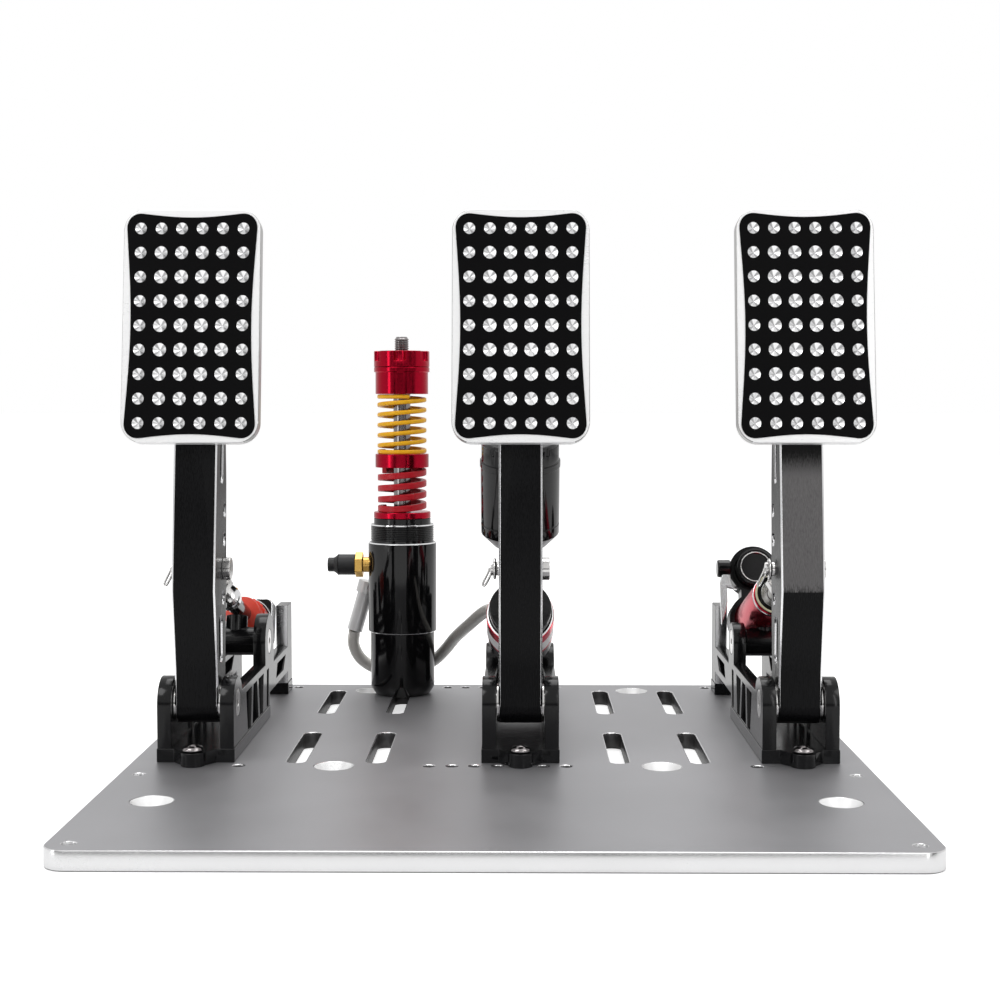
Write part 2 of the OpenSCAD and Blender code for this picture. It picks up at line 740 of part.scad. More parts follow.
module tower_upper_body() color([0.07, 0.07, 0.08]) tower_at() difference() {
    union() {
        translate([0, 0, tower_z[2]]) cylinder(d = tower_d, h = tower_z[3] - tower_z[2]);
        translate([0, 0, tower_z[3] - eps]) 
            cylinder(d = tower_d - tower_thread_in, h = tower_z[4] - tower_z[3] + eps);
        translate([0, 0, tower_z[4] - eps]) 
            cylinder(d = tower_d - tower_neck_in, h = tower_z[5] - tower_z[4] + eps);
    }
    translate([0, 0, bore_low_z]) cylinder(d = tower_rod_d + 2 * fit, h = seat_z);
    translate([-tower_d / 2 - 1, 0, bleed_z]) rotate([0, 90, 0])
        cylinder(d = bleed_d + 2 * fit, h = bleed_depth + 1);
}

module tower_ring(z, h, d, bore) tower_at() translate([0, 0, z]) difference() {
    cylinder(d = d, h = h);
    translate([0, 0, -1]) cylinder(d = bore, h = h + 2);
}

module tower_seat_ring() color([0.75, 0.05, 0.08])
    tower_ring(seat_z, seat_t, tower_d - tower_neck_in, tower_rod_d + 2 * loose);

module tower_mid_collar() color([0.75, 0.05, 0.08])
    tower_ring(collar_z, collar_t, coil_d + collar_over, tower_rod_d + 2 * collar_fit);

module tower_top_sleeve() color([0.75, 0.05, 0.08]) {
    tower_ring(sleeve_z, sleeve_t, coil_d + sleeve_over, tower_rod_d + 2 * fit);
    tower_ring(nut_z - flange_t, flange_t, coil_d + flange_over, tower_rod_d + 2 * fit);
}

module tower_rod() color("silver") tower_at() {
    translate([0, 0, rod_low_z]) cylinder(d = tower_rod_d, h = nut_z - rod_low_z);
    translate([0, 0, nut_z - eps]) cylinder(d = stud_d, h = stud_top - nut_z + eps);
}

module tower_nut() color([0.75, 0.05, 0.08]) tower_at() translate([0, 0, nut_z]) difference() {
    cylinder(d = coil_d + flange_over, h = nut_t);
    translate([0, 0, -1]) cylinder(d = stud_d + 2 * fit, h = nut_t + 2);
    for (a = [30:60:330]) rotate(a) translate([coil_d / 2 + scallop_out, 0, nut_t - scallop_h])
        cylinder(d = scallop_d, h = scallop_h + 1);
}

// One unbroken coil: rings of six points along a helix, closed at both ends
ring_sides = 6;
rings_per_turn = 8;
function helix(k, r, z, rise) = [r * cos(k * 360 / rings_per_turn), r * sin(k * 360 / rings_per_turn),
    z + rise * k / rings_per_turn];
function coil_ring(k, r, z, rise, wire) = [for (j = [0:ring_sides - 1])
    let (a = 360 * j / ring_sides + 30, c = helix(k, r + wire / 2 * cos(a), z, rise))
        [c[0], c[1], c[2] + wire / 2 * sin(a)]];
function tube_faces(rings, sides) = concat(
    [for (j = [1:sides - 2]) [0, j, j + 1]],
    [for (i = [0:rings - 2], j = [0:sides - 1])
        [i * sides + j, (i + 1) * sides + j, i * sides + (j + 1) % sides]],
    [for (i = [0:rings - 2], j = [0:sides - 1])
        [i * sides + (j + 1) % sides, (i + 1) * sides + j, (i + 1) * sides + (j + 1) % sides]],
    [for (j = [1:sides - 2]) [(rings - 1) * sides, (rings - 1) * sides + j + 1, (rings - 1) * sides + j]]);

module coil(z, h, turns, wire) {
    rings = floor(turns * rings_per_turn) + 1;
    r = coil_d / 2 - wire / 2;
    rise = (h - wire - 2 * coil_seat) / turns;
    z0 = z + wire / 2 + coil_seat;
    centres = [for (k = [0:rings - 1]) helix(k, r, z0, rise)];
    gaps = [for (k = [0:rings - 1 - rings_per_turn]) norm(centres[k + rings_per_turn] - centres[k]) - wire];
    echo(least_gap_in_coil = min(gaps));
    points = [for (k = [0:rings - 1], p = coil_ring(k, r, z0, rise, wire)) p];
    tower_at() polyhedron(points, tube_faces(rings, ring_sides));
}

module lower_spring() color([0.8, 0.08, 0.1]) coil(lower_spring_z, lower_spring_h, lower_turns, lower_wire);

module upper_spring() color([0.95, 0.65, 0.1]) coil(upper_spring_z, upper_spring_h, upper_turns, upper_wire);

// Bleed screw on the side of the tower, and its rubber cap
module bleed_at() {
    translate([tower[0] - tower_d / 2, tower[1], bleed_z]) rotate([0, -90, 0]) children();
}

module bleed_screw() color([0.75, 0.55, 0.2]) bleed_at() {
    translate([0, 0, -bleed_depth + fit]) cylinder(d = bleed_d, h = bleed_depth + bleed_neck);
    translate([0, 0, bleed_neck - 10 * eps]) cylinder(d = bleed_hex_d, h = bleed_hex_t, $fn = 6);
    translate([0, 0, bleed_neck + bleed_hex_t - 20 * eps]) cylinder(d = bleed_tip_d, h = bleed_tip_l);
}

module bleed_cap() color([0.05, 0.05, 0.05]) bleed_at() translate([0, 0, bleed_cap_s]) difference() {
    union() {
        cylinder(d = bleed_cap_d, h = bleed_cap_l);
        translate([0, 0, bleed_cap_l - eps])
            cylinder(d1 = bleed_cap_d, d2 = bleed_nose_d, h = bleed_cap_cone);
        translate([0, 0, bleed_cap_l + bleed_cap_cone - 2 * eps])
            cylinder(d = bleed_nose_d, h = bleed_nose_l);
    }
    translate([0, 0, -1]) cylinder(d = bleed_tip_d + 2 * fit, h = bleed_tip_l + 1);
}

// Hose and its fitting on the tower
function unit(v) = v / norm(v);
hose_dir = unit(hose_path[0] - ferrule_top);
module along(a, v) {
    translate(a) rotate([0, acos(v[2]), atan2(v[1], v[0])]) children();
}

module hose_fitting() color("silver") {
    ferrule_l = norm(hose_path[0] - ferrule_top);
    along(ferrule_top, hose_dir) {
        cylinder(d = ferrule_d, h = ferrule_l - loose);
        translate([0, 0, -ferrule_nut_back]) cylinder(d = ferrule_nut_d, h = ferrule_nut_l);
    }
    out = [ferrule_top[0] - tower[0], ferrule_top[1] - tower[1], 0];
    along([tower[0], tower[1], ferrule_top[2]] + unit(out) * (tower_d / 2 + banjo_gap), unit(out))
        cylinder(d = banjo_d, h = norm(out) - tower_d / 2 + banjo_in);
}

hose_n = len(hose_path);
function hose_tangent(i) = i == 0 ? hose_dir : i == hose_n - 1 ? [1, 0, 0] :
    unit(hose_path[i + 1] - hose_path[i - 1]);
function hose_ring(i) = let (t = hose_tangent(i), u = unit(cross(t, [0, 1, 0.35])), v = cross(t, u))
    [for (j = [0:hose_sides - 1]) let (a = 360 * j / hose_sides)
        hose_path[i] + hose_d / 2 * (cos(a) * u + sin(a) * v)];

module brake_hose() color([0.6, 0.6, 0.58])
    polyhedron([for (i = [0:hose_n - 1], p = hose_ring(i)) p], tube_faces(hose_n, hose_sides));

// One line draws each node
base_plate();
foot_screws();
feet(pedals[0]);  // clutch_feet
side_plates(pedals[0], 0);  // clutch_side_plates
pivot_pin(pedals[0]);  // clutch_pivot_pin
pivot_screws(pedals[0], 0);  // clutch_pivot_screws
arm(pedals[0]);  // clutch_arm
arm_fittings(pedals[0]);  // clutch_arm_fittings
pad(pedals[0]);  // clutch_pad
pad_tread(pedals[0]);  // clutch_pad_tread
clevis_pin(pedals[0]);  // clutch_clevis_pin
clutch_cradle();
clutch_cylinder();
clutch_rod();
clutch_preload_wheel();
clutch_end_block();
feet(pedals[1]);  // brake_feet
side_plates(pedals[1], 1);  // brake_side_plates
pivot_pin(pedals[1]);  // brake_pivot_pin
pivot_screws(pedals[1], 1);  // brake_pivot_screws
arm(pedals[1]);  // brake_arm
arm_fittings(pedals[1]);  // brake_arm_fittings
pad(pedals[1]);  // brake_pad
pad_tread(pedals[1]);  // brake_pad_tread
clevis_pin(pedals[1]);  // brake_clevis_pin
brake_master_cylinder();
brake_front_cap();
brake_red_bands();
brake_silver_band();
brake_rod();
fluid_reservoir();
reservoir_cap();
feet(pedals[2]);  // throttle_feet
side_plates(pedals[2], 2);  // throttle_side_plates
pivot_pin(pedals[2]);  // throttle_pivot_pin
pivot_screws(pedals[2], 2);  // throttle_pivot_screws
arm(pedals[2]);  // throttle_arm
arm_fittings(pedals[2]);  // throttle_arm_fittings
pad(pedals[2]);  // throttle_pad
pad_tread(pedals[2]);  // throttle_pad_tread
clevis_pin(pedals[2]);  // throttle_clevis_pin
throttle_cradle();
throttle_tube();
throttle_tube_ring();
throttle_rod();
throttle_damper();
throttle_damper_holder();
tower_lower_body();
tower_upper_body();
tower_seat_ring();
tower_rod();
lower_spring();
tower_mid_collar();
upper_spring();
tower_top_sleeve();
tower_nut();
bleed_screw();
bleed_cap();
hose_fitting();
brake_hose();
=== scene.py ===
"""Looks of a sim racing pedal set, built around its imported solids.

Sizes are in millimetres unless a name ends in _m.
"""

import json
import math

import bmesh
import bpy
from mathutils import Matrix, Vector

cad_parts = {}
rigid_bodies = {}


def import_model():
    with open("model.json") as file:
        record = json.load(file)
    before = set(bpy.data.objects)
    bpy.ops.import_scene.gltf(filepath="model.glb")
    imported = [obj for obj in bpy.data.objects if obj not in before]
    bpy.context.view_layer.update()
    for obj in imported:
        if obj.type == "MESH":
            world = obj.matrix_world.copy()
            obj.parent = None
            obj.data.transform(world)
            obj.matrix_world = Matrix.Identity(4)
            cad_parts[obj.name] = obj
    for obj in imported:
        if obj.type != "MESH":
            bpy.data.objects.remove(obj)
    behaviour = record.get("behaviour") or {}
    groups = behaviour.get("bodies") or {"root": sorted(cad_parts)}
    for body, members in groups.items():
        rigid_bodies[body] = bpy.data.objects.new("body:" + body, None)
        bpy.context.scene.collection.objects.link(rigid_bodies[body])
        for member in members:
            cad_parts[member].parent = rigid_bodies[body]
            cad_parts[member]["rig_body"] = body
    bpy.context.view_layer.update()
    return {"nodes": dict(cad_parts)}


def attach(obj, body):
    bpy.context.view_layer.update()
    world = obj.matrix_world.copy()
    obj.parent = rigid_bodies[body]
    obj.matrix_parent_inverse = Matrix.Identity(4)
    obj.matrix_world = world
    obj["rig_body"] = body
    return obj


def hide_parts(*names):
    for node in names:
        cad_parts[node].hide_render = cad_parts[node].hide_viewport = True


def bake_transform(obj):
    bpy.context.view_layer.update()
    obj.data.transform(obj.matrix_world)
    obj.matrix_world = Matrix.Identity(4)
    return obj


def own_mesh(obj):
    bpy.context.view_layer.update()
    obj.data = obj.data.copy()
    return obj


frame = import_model()
MM = 0.001

# Places that the solids share
PEDAL_X = {"clutch": -173.0, "brake": 13.0, "throttle": 173.0}
CLEVIS = (-12.0, 119.0)
HUB_Y = 98.0
HUB_Z = {"clutch": 60.0, "brake": 41.0, "throttle": 60.0}
STRUT_TILT = math.radians(18)
BRAKE_TILT = math.atan2(CLEVIS[1] - HUB_Z["brake"], HUB_Y - CLEVIS[0])
TOWER = (-70.0, 187.0)
PAD_LEAN = math.radians(8)


# Node helpers

def add_node(tree, kind, **settings):
    """A shader node with its attributes set."""
    made = tree.nodes.new(kind)
    for key, value in settings.items():
        setattr(made, key, value)
    return made


def link(tree, a, out_name, b, in_name):
    tree.links.new(a.outputs[out_name], b.inputs[in_name])


def math_node(tree, operation, *terms):
    """A math node, where each term is a number or a pair of a node and its output's name."""
    made = add_node(tree, "ShaderNodeMath", operation=operation)
    for k, term in enumerate(terms):
        if isinstance(term, tuple):
            link(tree, term[0], term[1], made, k)
        else:
            made.inputs[k].default_value = term
    return made


def smooth_step(tree, source, out, start, end, low=0.0, high=1.0):
    """Goes smoothly from low to high while the source goes from start to end."""
    made = add_node(tree, "ShaderNodeMapRange", interpolation_type="SMOOTHSTEP")
    for key, value in (("From Min", start), ("From Max", end), ("To Min", low), ("To Max", high)):
        made.inputs[key].default_value = value
    link(tree, source, out, made, "Value")
    return made


def coords(tree, scale):
    """Object coordinates in metres, stretched by a scale for each axis."""
    where = add_node(tree, "ShaderNodeTexCoord")
    mapping = add_node(tree, "ShaderNodeMapping")
    mapping.inputs["Scale"].default_value = scale
    link(tree, where, "Object", mapping, "Vector")
    return mapping


def noise(tree, scale, detail=4.0, roughness=0.6, stretch=(1, 1, 1)):
    mapping = coords(tree, stretch)
    made = add_node(tree, "ShaderNodeTexNoise")
    made.inputs["Scale"].default_value = scale
    made.inputs["Detail"].default_value = detail
    made.inputs["Roughness"].default_value = roughness
    link(tree, mapping, "Vector", made, "Vector")
    return made


def ramp(tree, source, low, high, start=0.3, end=0.7, out="Fac"):
    """Maps a 0 to 1 value between two colours or two numbers."""
    made = add_node(tree, "ShaderNodeValToRGB")
    stops = made.color_ramp.elements
    stops[0].position = start
    stops[1].position = end
    stops[0].color = low if hasattr(low, "__len__") else (low, low, low, 1)
    stops[1].color = high if hasattr(high, "__len__") else (high, high, high, 1)
    link(tree, source, out, made, "Fac")
    return made


def bump(tree, source, shader, strength, distance_m, out="Fac"):
    made = add_node(tree, "ShaderNodeBump")
    made.inputs["Strength"].default_value = strength
    made.inputs["Distance"].default_value = distance_m
    link(tree, source, out, made, "Height")
    link(tree, made, "Normal", shader, "Normal")


def tint(colour, factor):
    return tuple(min(1.0, c * factor) for c in colour) + (1.0,)


def base_material(name):
    mat = bpy.data.materials.new(name)
    mat.use_nodes = True
    tree = mat.node_tree
    return mat, tree, tree.nodes["Principled BSDF"]


FINE_SHARE = 0.55
BROAD_SCALE = 14.0
COAT_ROUGH = 0.08


def finish_material(name, colour, metallic, rough, spread=0.05, vary=0.12, grain=900.0,
                    stretch=(1, 1, 1), depth_m=0.00002, strength=0.15, coat=0.0, ior=1.5):
    """A solid finish: fine grain in the colour, the gloss and the surface."""
    mat, tree, shader = base_material(name)
    shader.inputs["Metallic"].default_value = metallic
    shader.inputs["IOR"].default_value = ior
    shader.inputs["Coat Weight"].default_value = coat
    shader.inputs["Coat Roughness"].default_value = COAT_ROUGH
    fine = noise(tree, grain, stretch=stretch)
    broad = noise(tree, BROAD_SCALE, detail=3.0)
    half = math_node(tree, "MULTIPLY", (broad, "Fac"), 1 - FINE_SHARE)
    mixed = math_node(tree, "MULTIPLY_ADD", (fine, "Fac"), FINE_SHARE, (half, "Value"))
    colours = ramp(tree, mixed, tint(colour, 1 - vary), tint(colour, 1 + vary), out="Value")
    link(tree, colours, "Color", shader, "Base Color")
    gloss = ramp(tree, mixed, max(0.02, rough - spread), rough + spread, out="Value")
    link(tree, gloss, "Color", shader, "Roughness")
    bump(tree, fine, shader, strength, depth_m)
    return mat


BRAID_TURN = math.radians(38)
BRAID_SCALE = 520.0


def braid_material(name):
    """Crossed steel strands under a clear cover, from the tube's own UV map."""
    mat, tree, shader = base_material(name)
    shader.inputs["Metallic"].default_value = 0.8
    shader.inputs["Coat Weight"].default_value = 0.9
    shader.inputs["Coat Roughness"].default_value = 0.12
    uv = add_node(tree, "ShaderNodeUVMap")
    waves = []
    for turn in (BRAID_TURN, -BRAID_TURN):
        mapping = add_node(tree, "ShaderNodeMapping")
        mapping.inputs["Rotation"].default_value = (0, 0, turn)
        link(tree, uv, "UV", mapping, "Vector")
        wave = add_node(tree, "ShaderNodeTexWave")
        wave.inputs["Scale"].default_value = BRAID_SCALE
        wave.inputs["Distortion"].default_value = 0.4
        wave.inputs["Detail Scale"].default_value = 2.0
        link(tree, mapping, "Vector", wave, "Vector")
        waves.append(wave)
    both = math_node(tree, "MULTIPLY", (waves[0], "Fac"), (waves[1], "Fac"))
    colours = ramp(tree, both, (0.60, 0.58, 0.54, 1), (0.97, 0.95, 0.91, 1), 0.02, 0.4, "Value")
    link(tree, colours, "Color", shader, "Base Color")
    gloss = ramp(tree, both, 0.55, 0.3, out="Value")
    link(tree, gloss, "Color", shader, "Roughness")
    bump(tree, both, shader, 0.5, 0.0003, "Value")
    return mat


# Reach of the ragged border, and the heights where the painted highlight rises and then fades into painted
# shadow under the pad
HAIR_REACH_M = 0.022
LIT_RISE_M, LIT_FALL_M = (0.008, 0.015), 0.016


def painted_highlight_arm_material(name, low_z_m, high_z_m):
    """Brushed black with a painted highlight: grey between two heights with a ragged brushed border, and
    black again above it as painted shadow under the pad.
    """
    mat, tree, shader = base_material(name)
    shader.inputs["IOR"].default_value = 1.2
    shader.inputs["Roughness"].default_value = 0.4
    where = add_node(tree, "ShaderNodeTexCoord")
    split = add_node(tree, "ShaderNodeSeparateXYZ")
    link(tree, where, "Object", split, "Vector")
    hair = noise(tree, 420.0, 5.0, 0.7, (6, 6, 0.12))
    ragged = math_node(tree, "MULTIPLY_ADD", (hair, "Fac"), HAIR_REACH_M, (split, "Z"))
    rise = smooth_step(tree, ragged, "Value", low_z_m + LIT_RISE_M[0], low_z_m + LIT_RISE_M[1])
    # Painted shadow under the pad: the grey fades back to black above the high height
    fall = smooth_step(tree, ragged, "Value", high_z_m, high_z_m + LIT_FALL_M, 1.0, 0.0)
    lit = math_node(tree, "MULTIPLY", (rise, "Result"), (fall, "Result"))
    highlight_streaks = ramp(tree, hair, (0.085, 0.082, 0.083, 1), (0.15, 0.145, 0.146, 1), 0.3, 0.7)
    mix = add_node(tree, "ShaderNodeMix", data_type="RGBA")
    mix.inputs[6].default_value = (0.005, 0.005, 0.005, 1)
    link(tree, lit, 0, mix, 0)
    link(tree, highlight_streaks, "Color", mix, 7)
    link(tree, mix, 2, shader, "Base Color")
    bump(tree, hair, shader, 0.2, 0.00003)
    return mat


# Painted reflection on the cups: how many grey wedges, their turn, and where they shade in
PAD_UP = (0.0, math.sin(PAD_LEAN), math.cos(PAD_LEAN))
WEDGE_COUNT, WEDGE_TURN = 4.0, 0.5
WEDGE_SPAN = (-0.9, 0.1)


def painted_reflection_cup_material(name):
    """Turned cone: bright, with four grey wedges of painted reflection that run from the rim to the tip, set
    by the direction of the surface normal.
    """
    mat, tree, shader = base_material(name)
    shader.inputs["Metallic"].default_value = 1.0
    shader.inputs["Roughness"].default_value = 0.3
    where = add_node(tree, "ShaderNodeNewGeometry")
    split = add_node(tree, "ShaderNodeSeparateXYZ")
    link(tree, where, "Normal", split, "Vector")
    rise = add_node(tree, "ShaderNodeVectorMath", operation="DOT_PRODUCT")
    rise.inputs[1].default_value = PAD_UP
    link(tree, where, "Normal", rise, 0)
    turn = math_node(tree, "ARCTAN2", (rise, "Value"), (split, "X"))
    wedges = math_node(tree, "MULTIPLY_ADD", (turn, "Value"), WEDGE_COUNT, WEDGE_TURN)
    wave = math_node(tree, "COSINE", (wedges, "Value"))
    tone = smooth_step(tree, wave, "Value", WEDGE_SPAN[0], WEDGE_SPAN[1])
    reflection_shades = ramp(tree, tone, (0.36, 0.36, 0.365, 1), (0.90, 0.90, 0.905, 1), 0.0, 1.0, "Result")
    link(tree, reflection_shades, "Color", shader, "Base Color")
    return mat


BLACK = (0.0045, 0.0045, 0.005)
MATERIALS = {
    "plate": finish_material("plate_grey", (0.37, 0.367, 0.38), 0.8, 0.44, 0.06, 0.10, 420.0, (1, 14, 14)),
    "bright": finish_material("bare_aluminium", (0.74, 0.74, 0.745), 1.0, 0.24, 0.06, 0.06, 500.0,
                              (1, 9, 9)),
    "polish": finish_material("polished_edge", (0.88, 0.88, 0.89), 1.0, 0.16, 0.04, 0.04, 400.0),
    "black": finish_material("black_anodised", BLACK, 0.0, 0.17, 0.05, 0.2, 700.0, ior=1.34),
    "arm": finish_material("black_brushed", BLACK, 0.0, 0.28, 0.10, 0.5, 260.0, (9, 9, 0.7), 0.00003, 0.3,
                           ior=1.2),
    # Painted highlight with painted pad shadow above it, for the throttle arm's upward-tilted front faces
    "arm_painted_highlight": painted_highlight_arm_material("black_brushed_painted_highlight", 0.1085, 0.183),
    "gloss_black": finish_material("gloss_black", BLACK, 0.0, 0.09, 0.03, 0.15, 600.0, ior=1.42),
    "tread": finish_material("tread_black", (0.0028, 0.0027, 0.0030), 0.0, 0.5, 0.06, 0.3, 1500.0,
                             ior=1.13),
    "steel": finish_material("bright_steel", (0.70, 0.69, 0.68), 1.0, 0.17, 0.05, 0.08, 500.0),
    # Painted shade for the pad's left and right walls, darker than the bright rim
    "pad_wall_painted_shade": finish_material("pad_wall_painted_shade", (0.46, 0.455, 0.45), 1.0, 0.3, 0.06, 0.06, 500.0, (9, 9, 1)),
    # Cups with painted reflection wedges
    "cup": painted_reflection_cup_material("pad_cup_painted_reflection"),
    "pad_rim": finish_material("pad_rim", (0.93, 0.93, 0.93), 0.25, 0.3, 0.05, 0.03, 500.0, (1, 9, 9)),
    "tube_red": finish_material("tube_red", (0.62, 0.008, 0.040), 0.9, 0.2, 0.05, 0.25, 300.0, (9, 9, 0.5)),
    # Painted shade inside the slots and holes, and painted contact shadow on the underside
    "slot_painted_shade": finish_material("slot_painted_shade", (0.10, 0.098, 0.10), 0.5, 0.35, 0.06, 0.15, 500.0),
    "chrome": finish_material("chrome", (0.82, 0.82, 0.83), 1.0, 0.07, 0.03, 0.04, 300.0),
    "red": finish_material("red_anodised", (0.42, 0.006, 0.024), 1.0, 0.20, 0.05, 0.12, 600.0),
    "spring_red": finish_material("spring_red", (0.50, 0.011, 0.021), 0.0, 0.30, 0.06, 0.12, 500.0,
                                  ior=1.35),
    "spring_yellow": finish_material("spring_yellow", (0.88, 0.45, 0.012), 0.0, 0.34, 0.06, 0.1, 500.0,
                                     ior=1.35),
    "wheel": finish_material("wheel_red", (0.80, 0.06, 0.03), 0.0, 0.32, 0.06, 0.1, 500.0, coat=0.3),
    "brass": finish_material("brass", (0.72, 0.44, 0.12), 1.0, 0.24, 0.06, 0.12, 500.0),
    "rubber": finish_material("rubber", (0.010, 0.010, 0.011), 0.0, 0.5, 0.06, 0.2, 900.0),
    "cream": finish_material("cream_ring", (0.72, 0.68, 0.45), 0.0, 0.45, 0.05, 0.1, 600.0),
    "dark_steel": finish_material("dark_steel", (0.30, 0.28, 0.28), 1.0, 0.16, 0.05, 0.1, 500.0),
    "frost": finish_material("frosted_grey", (0.42, 0.42, 0.43), 0.2, 0.4, 0.06, 0.1, 600.0),
    "braid": braid_material("hose_braid"),
}


# Mesh helpers

def make_object(name, mesh, mats):
    piece = bpy.data.objects.new(name, mesh)
    bpy.context.scene.collection.objects.link(piece)
    for key in mats:
        mesh.materials.append(MATERIALS[key])
    return piece


def shade(mesh, angle_deg=35):
    mesh.polygons.foreach_set("use_smooth", [True] * len(mesh.polygons))
    mesh.set_sharp_from_angle(angle=math.radians(angle_deg))


def add_bevel(piece, width, segments=2, slot=-1, angle_deg=32):
    mod = piece.modifiers.new("edges", "BEVEL")
    mod.width = width * MM
    mod.segments = segments
    mod.limit_method = "ANGLE"
    mod.angle_limit = math.radians(angle_deg)
    mod.harden_normals = True
    mod.material = slot
    mod.use_clamp_overlap = False
    return mod


def mount_piece(piece, node):
    """The piece stands for a node and rides on its body."""
    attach(piece, frame["nodes"][node]["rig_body"])
    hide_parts(node)
    return piece


MERGE_M = 0.000002
FLAT_ANGLE = math.radians(0.6)


def clean_copy(node):
    """A solid's mesh without materials, and an open bmesh of it with its flat faces merged."""
    mesh = frame["nodes"][node].data.copy()
    mesh.materials.clear()
    work = bmesh.new()
    work.from_mesh(mesh)
    bmesh.ops.remove_doubles(work, verts=work.verts, dist=MERGE_M)
    bmesh.ops.dissolve_limit(work, angle_limit=FLAT_ANGLE, verts=work.verts, edges=work.edges)
    return mesh, work


def dress(node, mats, bevel=0.4, segments=2, rule=None, edge_slot=-1):
    """A copy of a solid with eased edges, where rule gives each face its material."""
    mesh, work = clean_copy(node)
    for face in work.faces:
        face.material_index = rule(face) if rule else 0
    work.to_mesh(mesh)
    work.free()
    piece = make_object("dressed_" + node, mesh, mats)
    shade(mesh)
    if bevel:
        add_bevel(piece, bevel, segments, edge_slot)
    return mount_piece(piece, node)


def lathe(name, profile, place, mats, segments=96, bevel=0.3):
    """Turns (radius, height, material) points about local Z, closed on the axis where a radius is 0."""
    work = bmesh.new()
    rings = []
    for radius, height, _ in profile:
        if radius <= 0:
            rings.append([work.verts.new(place @ Vector((0, 0, height * MM)))])
            continue
        ring = []
        for k in range(segments):
            a = 2 * math.pi * k / segments
            spot = Vector((radius * MM * math.cos(a), radius * MM * math.sin(a), height * MM))
            ring.append(work.verts.new(place @ spot))
        rings.append(ring)
    for (low, high), point in zip(zip(rings, rings[1:]), profile):
        for k in range(segments):
            n = (k + 1) % segments
            if len(low) == 1 and len(high) == 1:
                continue
            if len(low) == 1:
                corners = (low[0], high[k], high[n])
            elif len(high) == 1:
                corners = (low[n], low[k], high[0])
            else:
                corners = (low[n], low[k], high[k], high[n])
            work.faces.new(corners).material_index = point[2]
    bmesh.ops.recalc_face_normals(work, faces=work.faces)
    mesh = bpy.data.meshes.new(name)
    work.to_mesh(mesh)
    work.free()
    piece = make_object(name, mesh, mats)
    shade(mesh, 30)
    if bevel:
        add_bevel(piece, bevel, angle_deg=35)
    return piece


def sweep(name, path, section, mats, upright=False):
    """A tube along path: section gives the ring's (side, up) offsets at each point's own frame."""
    work = bmesh.new()
    layer = work.loops.layers.uv.new("UVMap")
    rings = []
    lengths = [0.0]
    for a, b in zip(path, path[1:]):
        lengths.append(lengths[-1] + (b - a).length)
    up = Vector((0, 0, 1))
    for i, spot in enumerate(path):
        ahead = path[min(i + 1, len(path) - 1)] - path[max(i - 1, 0)]
        ahead.normalize()
        side = ahead.cross(up).normalized()
        high = side.cross(ahead).normalized()
        up = up if upright else high
        rings.append([work.verts.new(spot + side * s + high * h) for s, h in section])
    count = len(section)
    around = sum((Vector(section[k]) - Vector(section[k - 1])).length for k in range(count))
    for i in range(len(rings) - 1):
        for k in range(count):
            n = (k + 1) % count
            face = work.faces.new((rings[i][k], rings[i][n], rings[i + 1][n], rings[i + 1][k]))
            uvs = ((k, i), (k + 1, i), (k + 1, i + 1), (k, i + 1))
            for loop, (u, v) in zip(face.loops, uvs):
                loop[layer].uv = (u / count * around, lengths[v])
    work.faces.new(rings[0])
    work.faces.new(list(reversed(rings[-1])))
    bmesh.ops.recalc_face_normals(work, faces=work.faces)
    mesh = bpy.data.meshes.new(name)
    work.to_mesh(mesh)
    work.free()
    piece = make_object(name, mesh, mats)
    shade(mesh, 40)
    return piece


def ring_section(radius, sides=16):
    return [(radius * math.cos(2 * math.pi * k / sides), radius * math.sin(2 * math.pi * k / sides))
            for k in range(sides)]


def smooth_path(points, steps):
    """A smooth line through the points, with steps pieces between each two."""
    points = [Vector(p) * MM for p in points]
    ends = [2 * points[0] - points[1]] + points + [2 * points[-1] - points[-2]]
    out = []
    for i in range(len(points) - 1):
        p0, p1, p2, p3 = ends[i:i + 4]
        for k in range(steps):
            t = k / steps
            out.append(0.5 * ((2 * p1) + (p2 - p0) * t + (2 * p0 - 5 * p1 + 4 * p2 - p3) * t ** 2
                              + (3 * p1 - p0 - 3 * p2 + p3) * t ** 3))
    return out + [points[-1]]


def strut_place(pedal, along=0.0, rise=0.0):
    """Frame on a strut: local Z runs back and down from the clevis pin, local -Y rises."""
    tilt = BRAKE_TILT if pedal == "brake" else STRUT_TILT
    origin = Matrix.Translation(Vector((PEDAL_X[pedal], CLEVIS[0], CLEVIS[1])) * MM)
    turn = Matrix.Rotation(-math.pi / 2 - tilt, 4, "X")
    return origin @ turn @ Matrix.Translation(Vector((0, -rise, along)) * MM)


# Sheets: flat outlines filled, with holes, and given a thickness

def rounded_outline(width, height, radius, steps=10):
    """Corner points of a rounded rectangle about the origin, anticlockwise."""
    points = []
    for turn, (sx, sy) in enumerate(((1, 1), (-1, 1), (-1, -1), (1, -1))):
        centre = (sx * (width / 2 - radius), sy * (height / 2 - radius))
        for k in range(steps + 1):
            a = math.pi / 2 * (turn + k / steps)
            points.append((centre[0] + radius * math.cos(a), centre[1] + radius * math.sin(a)))
    return points


def split_long(points, longest):
    """The closed outline with its long straight runs cut into short ones."""
    out = []
    for a, b in zip(points, points[1:] + points[:1]):
        count = max(1, math.ceil(math.dist(a, b) / longest))
        out += [(a[0] + (b[0] - a[0]) * k / count, a[1] + (b[1] - a[1]) * k / count) for k in range(count)]
    return out


def circle(x, y, radius, steps=28):
    return [(x + radius * math.cos(2 * math.pi * k / steps), y + radius * math.sin(2 * math.pi * k / steps))
            for k in range(steps)]


